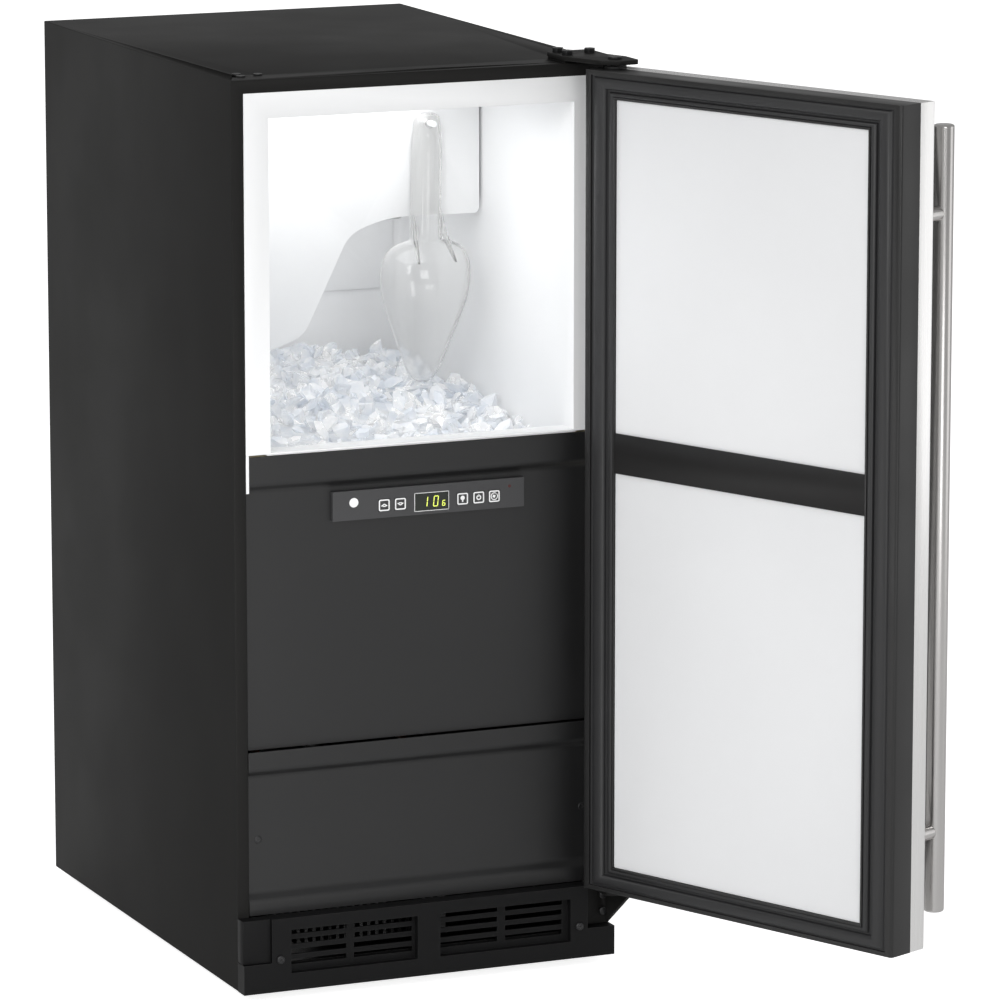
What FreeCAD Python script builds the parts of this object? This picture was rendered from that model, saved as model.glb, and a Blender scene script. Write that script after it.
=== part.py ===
import FreeCAD, Part
import os
import re
import Sketcher

# A 15 inch undercounter ice maker, in millimetres.
# The origin is on the floor at the centre of the cabinet's footprint, the front faces -Y and Z is up.
# The door is drawn closed and then turned about its hinge pins to the open position it rests in.

sizes = {
    # cabinet
    "cabinetWidth": 379.4, "cabinetDepth": 514, "cabinetHeight": 867,
    "sideBottom": 9.5, "steelGauge": 1.2, "flangeWidth": 12, "fitGap": 0.3,
    "basePanBottom": 10, "basePanGauge": 2, "basePanLip": 22,
    "rearInset": 4, "rearSplit": 261, "foamBottom": 285,
    # liner and what it holds
    "linerWall": 3, "binHalfWidth": 153, "binCeiling": 831, "binLip": 520, "binFloor": 330,
    "binFrontWall": 25, "binBack": 153, "flangeOut": 177.4, "linerFlangeTop": 855, "earBottom": 483,
    "niche": 30, "nicheHalfWidth": 130, "nicheBottom": 603, "nicheTop": 800, "cornerRadius": 18,
    "coverBottom": 597, "coverTop": 826, "coverHalfWidth": 136.5, "coverGauge": 2.7,
    # fan that stirs the air in the bin
    "binFanX": 75, "binFanZ": 700, "binFanRadius": 34,
    # shroud in front of the ice maker
    "shroudFace": -38, "shroudWall": 3, "shroudHalfWidth": 150, "shroudTop": 828, "hookX": 92, "hookZ": 789,
    "hookRadius": 3, "hookLength": 26,
    # mould with its rake
    "mouldLeft": -110, "mouldRight": 95, "mouldFront": 20, "mouldBack": 110, "mouldBottom": 735,
    "mouldTop": 785, "troughRadius": 34, "rakeRadius": 27, "shaftRadius": 4, "cellCount": 7, "divider": 3,
    "armY": 8, "armZ": 755, "armDrop": 65, "armWire": 2, "armLeft": -100, "armRight": 88,
    # front panels, set between the side flanges
    "panelHalfWidth": 177, "panelGauge": 2, "panelFace": 0.8, "upperTop": 516.6, "upperBend": 490,
    "bendDepth": 6.2, "bendHeight": 6.5, "panelSplit": 237.5, "lowerBend": 219, "lowerBottom": 80.5,
    "panelScrewX": 165.7, "panelScrewZ": 151.7,
    # control bar
    "barLeft": -90.9, "barRight": 102.8, "barBottom": 449.9, "barTop": 477.7, "barFace": 1.6,
    "barDepth": 10.4, "barWall": 2.5, "keySize": 11.5, "keyGap": 0.25, "keyZ": 461.8, "keyFace": 1.2,
    "keyDepth": 5.3, "windowX": 8.7, "windowWidth": 34, "windowHeight": 16.6, "ledX": 88, "ledZ": 470.3,
    "ledRadius": 1.5, "boardSetback": 8.5, "boardGauge": 1.6,
    # kick grille
    "kickProud": 16.8, "kickWall": 2.5, "kickBottom": 9.3, "kickBarTop": 37.5, "kickTop": 79.7,
    "kickHalfWidth": 161.5, "grilleBottom": 26, "grilleTop": 68, "grilleSink": 8, "slotHeight": 5,
    "slotPitch": 9.7, "slotFirst": 34.9, "kickScrewX": 153, "kickScrewZ": 40.5, "screwHead": 4,
    # door, closed
    "doorGap": 2, "frameDepth": 26.8, "doorDepth": 47.3, "doorBottom": 84.3, "doorTop": 865.5,
    "doorWall": 3, "doorPlate": 10, "skinGauge": 1, "borderSide": 38, "borderEnd": 25,
    "sealSink": 5, "sealSide": 8, "sealEnd": 4, "sealProud": 1.7, "bulbSide": 12, "bulbEnd": 6,
    "bulbWidth": 13, "midBarBottom": 489.5, "midBarTop": 527.5, "doorPanelSink": 2, "doorPanelGauge": 2,
    "hingeInset": 10.07, "hingeSetback": 30.79, "doorOpen": 113.8, "edgeRound": 3,
    "pinRadius": 4, "pinFit": 0.06, "bushRadius": 7, "bushLength": 20, "bushFlange": 11,
    "bushFlangeHeight": 1.8,
    # door handle
    "barRadius": 9.5, "barInset": 25.2, "barStandoff": 44, "barLow": 107, "barHigh": 838,
    "postRadius": 7, "postLow": 183, "postHigh": 757.4, "barEndRound": 3,
    # hinge plates
    "plateLift": 2.5, "plateGauge": 4, "shelfBottom": 78.8, "shelfGauge": 3, "shelfReach": 60,
    # scoop
    "scoopX": 93, "scoopRim": -42, "scoopHandle": 16, "scoopWall": 2.2, "scoopTop": 798, "scoopNeck": 684,
    "scoopBowl": 47, "scoopWide": 636, "scoopTip": 536, "scoopTipRadius": 20,
    # machine space under the bin
    "compressorX": 95, "compressorY": 130, "compressorRadius": 60, "compressorBottom": 34,
    "compressorTop": 192, "condenserLeft": -170, "condenserRight": 30, "condenserFront": -236,
    "condenserBack": -208, "condenserBottom": 42, "condenserTop": 206, "finPitch": 8, "finSlot": 5,
    "coolFanX": -70, "coolFanZ": 124, "coolFanRadius": 72, "blades": 5, "bladeChord": 0.56,
    "footRadius": 16, "footHeight": 8, "studRadius": 5, "studTop": 36, "footX": 160, "footY": 222,
    "drainX": -40, "drainY": 95, "drainRadius": 7, "hoseWall": 1.5, "pipeRadius": 4,
    "suctionX": -110, "suctionY": 205, "suctionZ": 640, "valveX": -130, "valveSetback": 44,
    "waterRadius": 3.5, "waterZ": 819,
}

# places that follow from the sizes above
places = {
    "side": "cabinetWidth / 2", "front": "-cabinetDepth / 2", "back": "cabinetDepth / 2",
    "panelY": "front + panelFace", "barY": "front + barFace", "boardY": "front + boardSetback",
    "kickY": "front - kickProud", "doorFace": "front - doorGap", "seamY": "doorFace - frameDepth",
    "doorOuter": "doorFace - doorDepth", "pinX": "side - hingeInset", "pinY": "doorFace - hingeSetback",
    "handleX": "-side + barInset", "handleY": "doorOuter - barStandoff", "rearY": "back - rearInset",
    "troughY": "(mouldFront + mouldBack) / 2", "shelfTop": "shelfBottom + shelfGauge",
}

doc = FreeCAD.newDocument("IceMaker")
sheet = doc.addObject("Spreadsheet::Sheet", "Dims")
for row, (name, size) in enumerate(sizes.items(), 1):
    sheet.set(f"A{row}", name)
    sheet.set(f"B{row}", str(size))
    sheet.setAlias(f"B{row}", name)
doc.recompute()

nodes = []
turns = {
    "x": FreeCAD.Rotation(FreeCAD.Vector(0, 1, 0), 90),
    "y": FreeCAD.Rotation(FreeCAD.Vector(1, 0, 0), -90),
    "z": FreeCAD.Rotation(),
}


def formula(text):
    # an expression on the sheet, from text that names sizes and places
    def spell(match):
        word = match.group()
        if word in places:
            return "(" + formula(places[word]) + ")"
        return "Dims." + word if word in sizes else word
    return re.sub(r"[A-Za-z]\w*", spell, str(text))


def value(text):
    return float(sheet.evalExpression(formula(text)))


def bind(piece, slot, text):
    piece.setExpression(slot, formula(text))


def keep(label, piece):
    piece.Label = label
    nodes.append(piece)
    return piece


def block(across, along, up):
    # a box between two places on each axis
    piece = doc.addObject("Part::Box", "Block")
    for size, axis, (low, high) in zip(("Length", "Width", "Height"), "xyz", (across, along, up)):
        bind(piece, size, f"({high}) - ({low})")
        bind(piece, "Placement.Base." + axis, low)
    return piece


def rod(radius, axis, centre, span):
    # a cylinder along one axis, with its centre on the two others
    piece = doc.addObject("Part::Cylinder", "Rod")
    piece.Placement = FreeCAD.Placement(FreeCAD.Vector(), turns[axis])
    bind(piece, "Radius", radius)
    bind(piece, "Height", f"({span[1]}) - ({span[0]})")
    for other, place in zip([letter for letter in "xyz" if letter != axis], centre):
        bind(piece, "Placement.Base." + other, place)
    bind(piece, "Placement.Base." + axis, span[0])
    return piece


def taper(low, high, axis, centre, span):
    # a cone along one axis, with a radius at each end
    piece = doc.addObject("Part::Cone", "Taper")
    piece.Placement = FreeCAD.Placement(FreeCAD.Vector(), turns[axis])
    bind(piece, "Radius1", low)
    bind(piece, "Radius2", high)
    bind(piece, "Height", f"({span[1]}) - ({span[0]})")
    for other, place in zip([letter for letter in "xyz" if letter != axis], centre):
        bind(piece, "Placement.Base." + other, place)
    bind(piece, "Placement.Base." + axis, span[0])
    return piece


def fuse(*pieces):
    whole = doc.addObject("Part::MultiFuse", "Fused")
    whole.Shapes = list(pieces)
    return whole


def group(*pieces):
    # separate solids that share a node
    whole = doc.addObject("Part::Compound", "Group")
    whole.Links = list(pieces)
    return whole


def cut(base, *tools):
    whole = doc.addObject("Part::Cut", "Cut")
    whole.Base = base
    whole.Tool = tools[0] if len(tools) == 1 else fuse(*tools)
    return whole


def copyOf(piece):
    # the same shape again, to cut its own seat in a neighbour
    twin = doc.addObject("Part::MultiFuse", "Seat")
    twin.Shapes = [piece, piece]
    return twin


def body():
    return doc.addObject("PartDesign::Body", "Body")


def sketchOn(owner, role, offset="0"):
    sketch = owner.newObject("Sketcher::SketchObject", "Sketch")
    plane = next(flat for flat in owner.Origin.OriginFeatures if flat.Role == role)
    sketch.AttachmentSupport = (plane, [""])
    sketch.MapMode = "FlatFace"
    bind(sketch, "AttachmentOffset.Base.z", offset)
    return sketch


def outline(sketch, corners):
    # a closed outline of straight edges, each corner held by two distances from the origin
    first = sketch.GeometryCount
    points = [FreeCAD.Vector(value(across), value(up), 0) for across, up in corners]
    count = len(points)
    for i in range(count):
        sketch.addGeometry(Part.LineSegment(points[i], points[(i + 1) % count]), False)
    for i in range(count):
        edge = first + i
        following = first + (i + 1) % count
        sketch.addConstraint(Sketcher.Constraint("Coincident", edge, 2, following, 1))
        for kind, place in zip(("DistanceX", "DistanceY"), corners[i]):
            number = sketch.addConstraint(Sketcher.Constraint(kind, -1, 1, edge, 1, value(place)))
            bind(sketch, f"Constraints[{number}]", place)


def pad(owner, sketch, length):
    feature = owner.newObject("PartDesign::Pad", "Pad")
    feature.Profile = sketch
    bind(feature, "Length", length)
    owner.Tip = feature
    return feature


def pocket(owner, sketch, length, backwards):
    # the volume is compared, because a pocket that points away from the solid cuts nothing
    doc.recompute()
    before = owner.Shape.Volume
    feature = owner.newObject("PartDesign::Pocket", "Pocket")
    feature.Profile = sketch
    bind(feature, "Length", length)
    feature.Reversed = backwards
    owner.Tip = feature
    doc.recompute()
    if not owner.Shape.Volume < before - 1:
        raise RuntimeError("a pocket in " + owner.Label + " cuts nothing")
    return feature


def repeat(owner, feature, role, length, count):
    pattern = owner.newObject("PartDesign::LinearPattern", "Row")
    pattern.Originals = [feature]
    axis = next(line for line in owner.Origin.OriginFeatures if line.Role == role)
    pattern.Direction = (axis, [""])
    bind(pattern, "Length", length)
    bind(pattern, "Occurrences", count)
    owner.Tip = pattern
    return pattern


def revolve(owner, sketch):
    # a full turn about the sketch's own upright axis
    feature = owner.newObject("PartDesign::Revolution", "Turned")
    feature.Profile = sketch
    feature.ReferenceAxis = (sketch, ["V_Axis"])
    feature.Angle = 360
    owner.Tip = feature
    return feature


def roundBody(owner, radius, wanted):
    # fillets the edges of a body that a rule picks by their two ends
    doc.recompute()
    names = []
    for number, edge in enumerate(owner.Shape.Edges, 1):
        ends = [vertex.Point for vertex in edge.Vertexes]
        if len(ends) == 2 and wanted(*ends):
            names.append(f"Edge{number}")
    base = owner.Tip
    feature = owner.newObject("PartDesign::Fillet", "Rounded")
    feature.Base = (base, names)
    bind(feature, "Radius", radius)
    owner.Tip = feature
    return feature


def roundPart(piece, radius, wanted):
    doc.recompute()
    picked = []
    for number, edge in enumerate(piece.Shape.Edges, 1):
        ends = [vertex.Point for vertex in edge.Vertexes]
        if len(ends) == 2 and wanted(*ends):
            picked.append((number, value(radius), value(radius)))
    feature = doc.addObject("Part::Fillet", "Rounded")
    feature.Base = piece
    feature.Edges = picked
    return feature


def near(a, b):
    return abs(a - b) < 0.01


def upright(a, b):
    return near(a.x, b.x) and near(a.y, b.y)


def alongY(a, b):
    return near(a.x, b.x) and near(a.z, b.z)


def tube(radius, corners, bend):
    # a round tube along straight runs joined by arcs of one radius
    points = [FreeCAD.Vector(*[value(place) for place in corner]) for corner in corners]
    arcRadius = value(bend)
    edges = []
    start = points[0]
    for before, corner, after in zip(points, points[1:], points[2:]):
        into = (corner - before).normalize()
        out = (after - corner).normalize()
        reach = arcRadius * into.cross(out).Length / (1 + into.dot(out))
        first = corner - into * reach
        last = corner + out * reach
        side = (out - into).normalize()
        rise = (arcRadius ** 2 + reach ** 2) ** 0.5 - arcRadius
        edges.append(Part.LineSegment(start, first).toShape())
        edges.append(Part.Arc(first, corner + side * rise, last).toShape())
        start = last
    edges.append(Part.LineSegment(start, points[-1]).toShape())
    path = Part.Wire(edges)
    heading = (points[1] - points[0]).normalize()
    section = Part.Wire([Part.Circle(points[0], heading, value(radius)).toShape()])
    piece = doc.addObject("Part::Feature", "Tube")
    piece.Shape = path.makePipeShell([section], True, False)
    return piece


# ---- fasteners come first, because they cut their own seats in the pieces they hold ----

def panScrew(x, y, z, length):
    # a pan head screw driven in from the front
    head = rod("screwHead", "y", (x, z), (f"{y} - 2", y))
    shank = rod("1.9", "y", (x, z), (y, f"{y} + {length}"))
    return fuse(head, shank)


def hexScrew(x, y, z):
    # a hexagon head screw driven down into the cabinet's top
    head = doc.addObject("Part::Prism", "Hexagon")
    head.Polygon = 6
    bind(head, "Circumradius", "5.5")
    bind(head, "Height", "4.2")
    bind(head, "Placement.Base.x", x)
    bind(head, "Placement.Base.y", y)
    bind(head, "Placement.Base.z", z)
    return fuse(head, rod("3", "z", (x, y), (f"{z} - 16", z)))


frontScrews = keep("front_panel_screws", group(
    panScrew("-panelScrewX", "panelY + bendDepth + 1.4", "panelScrewZ", "9"),
    panScrew("panelScrewX", "panelY + bendDepth + 1.4", "panelScrewZ", "9"),
    panScrew("-kickScrewX", "kickY", "kickScrewZ", "24"),
    panScrew("kickScrewX", "kickY", "kickScrewZ", "24")))
plateTop = "cabinetHeight + plateLift + plateGauge"
topScrews = group(*[hexScrew(x, f"front + {y}", plateTop)
                    for x, y in (("178", 21), ("152", 14), ("152", 36))])
lowerScrews = group(*[fuse(rod("3.6", "y", ("182.5", up), ("front - 6.3", "front - 3.3")),
                           rod("2", "y", ("182.5", up),
                               ("front - 3.3", "front + 12"))) for up in ("50", "66")])
keep("hinge_screws", group(topScrews, lowerScrews))
plugs = keep("hinge_hole_plugs", group(*[
    fuse(rod("4.2", "z", (x, f"front + {y}"), ("cabinetHeight", "cabinetHeight + 1.4")),
         rod("2.8", "z", (x, f"front + {y}"), ("cabinetHeight - 8", "cabinetHeight")))
    for x, y in (("-168", 42), ("-169.5", 27), ("-150", 34))]))

# ---- cabinet shell ----

shell = cut(
    block(("-side", "side"), ("front", "back"), ("sideBottom", "cabinetHeight")),
    block(("-side + steelGauge", "side - steelGauge"), ("front + steelGauge", "back + 1"),
          ("sideBottom - 1", "cabinetHeight - steelGauge")),
    block(("-side + flangeWidth", "side - flangeWidth"), ("front - 1", "front + steelGauge + 1"),
          ("sideBottom - 1", "cabinetHeight - flangeWidth")),
    copyOf(topScrews), copyOf(plugs), copyOf(lowerScrews))
tabBack = "panelY + bendDepth + panelGauge"
tabs = [block((low, high), (f"{tabBack} + 0.2", f"{tabBack} + 1.4"),
              ("panelScrewZ - 7", "panelScrewZ + 7"))
        for low, high in (("-side + 1", "-panelScrewX + 8"), ("panelScrewX - 8", "side - 1"))]
keep("outer_cabinet", cut(fuse(shell, *tabs), copyOf(frontScrews)))

pan = cut(
    block(("-side + 1.5", "side - 1.5"), ("front + 2", "back - 0.3"),
          ("basePanBottom", "basePanBottom + basePanLip")),
    block(("-side + 1.5 + basePanGauge", "side - 1.5 - basePanGauge"), ("front + 4", "back - 6.3"),
          ("basePanBottom + basePanGauge", "basePanBottom + basePanLip + 1")),
    *[rod("studRadius + pinFit", "z", (f"{a} * footX", f"{b} * footY"),
          ("0", "60")) for a in (-1, 1) for b in (-1, 1)])
bosses = [taper("12", "9", "z", (f"compressorX + {a} * 66", f"compressorY + {b} * 38"),
                ("basePanBottom + basePanGauge / 2",
                 "compressorBottom - 3")) for a in (-1, 1) for b in (-1, 1)]
kickTabs = [block((f"{a} * kickScrewX - 8", f"{a} * kickScrewX + 8"), ("front + 2", "front + 4"),
                  ("basePanBottom + basePanLip - 1", "kickScrewZ + 7")) for a in (-1, 1)]
keep("base_pan", cut(fuse(pan, *bosses, *kickTabs), copyOf(frontScrews)))


def sheetPlate(up, feature, cuts):
    # a flat rear sheet with one row of louvre slots, its opening a pocket repeated upwards
    owner = body()
    low, high = up
    sketch = sketchOn(owner, "XZ_Plane", "-(rearY + steelGauge)")
    wide = "side - 1.5"
    outline(sketch, [(f"-({wide})", low), (wide, low), (wide, high), (f"-({wide})", high)])
    pad(owner, sketch, "steelGauge")
    if feature:
        first, pitch, count, left, right = feature
        slot = sketchOn(owner, "XZ_Plane", "-(rearY - 1)")
        outline(slot, [(left, first), (right, first), (right, f"{first} + 4"), (left, f"{first} + 4")])
        cutOut = pocket(owner, slot, "steelGauge + 3", False)
        repeat(owner, cutOut, "Z_Axis", f"{pitch} * ({count} - 1)", count)
    return cut(owner, *cuts) if cuts else owner


inletSeat = block(("68", "98"), ("back - 20", "back + 5"), ("52", "76"))
valveSeat = rod("8", "y", ("-130", "80"), ("back - 20", "back + 5"))
drainSeat = rod("drainRadius + 0.1", "y", ("drainX", "48"), ("back - 20", "back + 5"))
keep("rear_access_cover", sheetPlate(("34", "rearSplit - 0.5"), ("120", 12, 9, "-110", "110"),
                                     [inletSeat, valveSeat, drainSeat]))
keep("rear_panel", sheetPlate(("rearSplit", "cabinetHeight - steelGauge"), None, []))

# ---- white liner, moulded in one piece with its front flange ----

inside = roundPart(
    block(("-binHalfWidth", "binHalfWidth"), ("front - 30", "binBack"), ("binLip", "binCeiling")),
    "cornerRadius", lambda a, b: upright(a, b) and a.y > 100)
well = roundPart(
    block(("-binHalfWidth", "binHalfWidth"), ("front + binFrontWall", "binBack"),
          ("binFloor", "binLip + 1")),
    "cornerRadius", lambda a, b: upright(a, b) and a.y > 100)
nicheVoid = block(("-nicheHalfWidth", "nicheHalfWidth"), ("binBack - 1", "binBack + niche"),
                  ("nicheBottom", "nicheTop"))
linerOuter = [
    block(("-binHalfWidth - linerWall", "binHalfWidth + linerWall"), ("front + 2", "binBack + linerWall"),
          ("binLip - linerWall", "binCeiling + linerWall")),
    block(("-binHalfWidth - linerWall", "binHalfWidth + linerWall"),
          ("front + binFrontWall - linerWall", "binBack + linerWall"), ("binFloor - linerWall", "binLip")),
    block(("-nicheHalfWidth - linerWall", "nicheHalfWidth + linerWall"),
          ("binBack - 1", "binBack + niche + linerWall"),
          ("nicheBottom - linerWall", "nicheTop + linerWall"))]
flange = block(("-flangeOut", "flangeOut"), ("front", "front + linerWall"),
               ("binLip - 1.2", "linerFlangeTop"))
ears = [block((low, high), ("front", "front + linerWall"), ("earBottom", "binLip"))
        for low, high in (("-flangeOut", "-flangeOut + 2.8"), ("flangeOut - 2.8", "flangeOut"))]
drainBore = rod("drainRadius + 0.1", "z", ("drainX", "drainY"), ("binFloor - 20", "binFloor + 5"))
suctionBore = rod("pipeRadius + 0.1", "y", ("suctionX", "suctionZ"),
                  ("binBack + niche - 1", "binBack + niche + 5"))
waterBore = rod("waterRadius + 0.1", "y", ("valveX", "waterZ"), ("binBack - 6", "binBack + 6"))
linerPlug = fuse(*linerOuter)
keep("ice_bin_liner", cut(fuse(linerPlug, flange, *ears), inside, well, nicheVoid, drainBore, suctionBore,
                          waterBore))

# ---- evaporator in the liner's rear niche, its cover, and the fan that stirs the air ----

finLeft = "-nicheHalfWidth + 6"
finRight = "14"
finBase = body()
finSketch = sketchOn(finBase, "XY_Plane", "nicheBottom + 10")
outline(finSketch, [(finLeft, "binBack + 5"), (finRight, "binBack + 5"), (finRight, "binBack + niche - 2"),
                    (finLeft, "binBack + niche - 2")])
pad(finBase, finSketch, "nicheTop - nicheBottom - 20")
slotSketch = sketchOn(finBase, "XY_Plane", "nicheBottom + 10")
outline(slotSketch, [(f"{finLeft} + 3", "binBack + 4"), (f"{finLeft} + 3 + finSlot", "binBack + 4"),
                     (f"{finLeft} + 3 + finSlot", "binBack + niche - 8"),
                     (f"{finLeft} + 3", "binBack + niche - 8")])
finCut = pocket(finBase, slotSketch, "nicheTop - nicheBottom - 20", True)
repeat(finBase, finCut, "X_Axis", "finPitch * 16", 17)
keep("evaporator_coil", finBase)

fanCentre = ("binFanX", "binFanZ")
keep("bin_fan_motor", fuse(
    rod("17", "y", fanCentre, ("binBack + 6", "binBack + niche")),
    block(("binFanX - 34", "binFanX + 34"), ("binBack + niche - 3", "binBack + niche"),
          ("binFanZ - 6", "binFanZ + 6"))))
coverPlate = block(("-coverHalfWidth", "coverHalfWidth"), ("binBack - coverGauge - 0.2", "binBack - 0.2"),
                   ("coverBottom", "coverTop"))
returnSlots = [block((f"{-120 + 26 * i}", f"{-120 + 26 * i} + 18"), ("binBack - 8", "binBack + 2"),
                     ("nicheTop - 14", "nicheTop - 8")) for i in range(10)]
keep("evaporator_cover", cut(coverPlate, rod("binFanRadius + 3", "y", fanCentre,
                                             ("binBack - 8", "binBack + 2")),
                             copyOf(waterBore), *returnSlots))


def propeller(radius, hub, depth, y, x, z, tilt):
    # a hub and flat tilted blades spread evenly round it, turning about Y
    parts = [rod(hub, "y", (x, z), (y, f"{y} + {depth}"))]
    for i in range(int(sizes["blades"])):
        blade = doc.addObject("Part::Box", "Blade")
        bind(blade, "Length", f"{radius} - ({hub}) + 2")
        bind(blade, "Width", "1.4")
        bind(blade, "Height", f"({radius}) * bladeChord")
        centre = FreeCAD.Vector(value(x), value(f"{y} + {depth} / 2"), value(z))
        lay = FreeCAD.Placement(FreeCAD.Vector(value(hub) - 2, -0.7,
                                               -value(radius) * sizes["bladeChord"] / 2),
                                               FreeCAD.Rotation())
        lean = FreeCAD.Placement(FreeCAD.Vector(), FreeCAD.Rotation(FreeCAD.Vector(1, 0, 0), tilt))
        spin = FreeCAD.Placement(centre, FreeCAD.Rotation(FreeCAD.Vector(0, 1, 0),
                                                          360 * i / sizes["blades"]))
        blade.Placement = spin.multiply(lean).multiply(lay)
        parts.append(blade)
    return parts


keep("bin_fan_blade", fuse(*propeller("binFanRadius - 3", "8", "11", "binBack - 16", "binFanX", "binFanZ",
                                      62),
                           rod("2.5", "y", fanCentre, ("binBack - 6", "binBack + 5.6"))))

# ---- ice maker: mould, rake, gearbox, level arm, fill cup ----

trough = rod("troughRadius", "x", ("troughY", "mouldTop"), ("mouldLeft", "mouldRight"))
mouldBlock = cut(
    block(("mouldLeft - divider", "mouldRight + divider"), ("mouldFront", "mouldBack"),
          ("mouldBottom", "mouldTop + 7")),
    trough,
    block(("mouldLeft", "mouldRight"), ("mouldFront + 4", "mouldBack - 4"), ("mouldTop", "mouldTop + 9")))
cell = "(mouldRight - mouldLeft) / cellCount"
walls = [cut(rod("troughRadius + 0.5", "x", ("troughY", "mouldTop"),
                 (f"mouldLeft + {cell} * {i} - divider / 2", f"mouldLeft + {cell} * {i} + divider / 2")),
             block(("mouldLeft - 5", "mouldRight + 5"), ("mouldFront - 5", "mouldBack + 5"),
                   ("mouldTop - 8", "mouldTop + 50")))
         for i in range(1, int(sizes["cellCount"]))]
lug = cut(block(("mouldLeft - 9", "mouldLeft - 2.9"), ("armY - 7", "mouldFront + 6"),
                ("armZ - 7", "armZ + 7")),
          rod("armWire + pinFit", "x", ("armY", "armZ"), ("mouldLeft - 12", "mouldLeft")))
keep("ice_mould", cut(fuse(mouldBlock, lug, *walls),
                      rod("shaftRadius + pinFit", "x", ("troughY", "mouldTop"),
                          ("mouldLeft - 8", "mouldRight + 8"))))
fingers = [block((f"mouldLeft + {cell} * ({i} + 0.5) - 2.5", f"mouldLeft + {cell} * ({i} + 0.5) + 2.5"),
                 ("troughY - 3", "troughY + 3"), ("mouldTop", "mouldTop + rakeRadius"))
           for i in range(int(sizes["cellCount"]))]
keep("rake_shaft", fuse(rod("shaftRadius", "x", ("troughY", "mouldTop"),
                            ("mouldLeft - 2.5", "mouldRight + 12")),
                        *fingers))
keep("ice_maker_gearbox", cut(
    roundPart(block(("mouldRight + 4", "mouldRight + 44"), ("armY - 9", "mouldBack + 4"),
                    ("mouldBottom - 12", "mouldTop + 32")), "5",
              lambda a, b: near(a.y, b.y) and near(a.z, b.z)),
    rod("shaftRadius + pinFit", "x", ("troughY", "mouldTop"), ("mouldRight", "mouldRight + 13")),
    rod("armWire + pinFit", "x", ("armY", "armZ"), ("mouldRight", "mouldRight + 13"))))
arm = tube("armWire", [("mouldRight + 12", "armY", "armZ"), ("armRight", "armY", "armZ"),
                       ("armRight", "armY", "armZ - armDrop"), ("armLeft", "armY", "armZ - armDrop"),
                       ("armLeft", "armY", "armZ"), ("mouldLeft - 9.5", "armY", "armZ")], "4.5")
keep("ice_level_arm", arm)
cup = cut(fuse(block(("mouldLeft - 30", "mouldLeft + 8"), ("62", "100"),
                     ("mouldTop + 12", "mouldTop + 30")),
               block(("mouldLeft - 4", "mouldLeft + 8"), ("70", "92"),
                     ("mouldTop + 7.2", "mouldTop + 13"))),
          block(("mouldLeft - 28", "mouldLeft + 6"), ("64", "98"), ("mouldTop + 14", "mouldTop + 31")),
          block(("mouldLeft - 1", "mouldLeft + 5"), ("73", "89"), ("mouldTop + 5", "mouldTop + 15")))
keep("water_fill_cup", cup)

# ---- white shroud with the swept lower edge, and the scoop's peg moulded on it ----

shroud = body()
shroudSketch = sketchOn(shroud, "XZ_Plane", "-(shroudFace + shroudWall)")
outline(shroudSketch, [("-shroudHalfWidth", "shroudTop"), ("-shroudHalfWidth", "562"), ("-66", "576"),
                       ("-33", "588"),
                       ("14", "683"), ("52", "698"), ("shroudHalfWidth", "696.5"),
                       ("shroudHalfWidth", "shroudTop")])
pad(shroud, shroudSketch, "shroudWall")
bends = {(-66, 576): "60", (-33, 588): "28", (14, 683): "34", (52, 698): "130", (150, 696.5): "6"}
for (cornerX, cornerZ), radius in bends.items():
    roundBody(shroud, radius,
              lambda a, b, x=cornerX, z=cornerZ: alongY(a, b) and near(a.x, x) and near(a.z, z))
shroudSides = [block((low, high), ("shroudFace + shroudWall - 0.5", "binBack - 14"),
                     ("shroudTop - 118", "shroudTop"))
               for low, high in (("shroudHalfWidth - shroudWall", "shroudHalfWidth"),)]
peg = fuse(rod("hookRadius", "y", ("hookX", "hookZ"), ("shroudFace - hookLength", "shroudFace + 1")),
           rod("hookRadius + 3", "y", ("hookX", "hookZ"), ("shroudFace - 2.5", "shroudFace + 1")))
keep("ice_maker_shroud", fuse(shroud, peg, *shroudSides))

keep("bin_light", fuse(
    block(("-70", "70"), ("front + 40", "front + 58"), ("binCeiling - 5", "binCeiling - 0.2")),
    *[block((f"{-60 + 20 * i} - 3", f"{-60 + 20 * i} + 3"), ("front + 46", "front + 52"),
            ("binCeiling - 6.5", "binCeiling - 4")) for i in range(7)]))

# ---- the ice that the bin holds, one heap that falls towards the front and the right ----

heap = body()
leftEnd = sketchOn(heap, "YZ_Plane", "-binHalfWidth + 0.4")
rightEnd = sketchOn(heap, "YZ_Plane", "binHalfWidth - 0.4")
bottom = "binFloor + 0.3"
heapFront = "front + binFrontWall + 0.4"
heapBack = "binBack - cornerRadius"
outline(leftEnd, [(heapFront, bottom), (heapBack, bottom), (heapBack, "582"), ("-40", "550"),
                  (heapFront, "519")])
outline(rightEnd, [(heapFront, bottom), (heapBack, bottom), (heapBack, "534"), ("-40", "524"),
                   (heapFront, "507")])
loft = heap.newObject("PartDesign::AdditiveLoft", "Heap")
loft.Profile = leftEnd
loft.Sections = [rightEnd]
loft.Ruled = True
heap.Tip = loft
keep("ice_heap", heap)

# ---- foam between the liner and the shell ----

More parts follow.
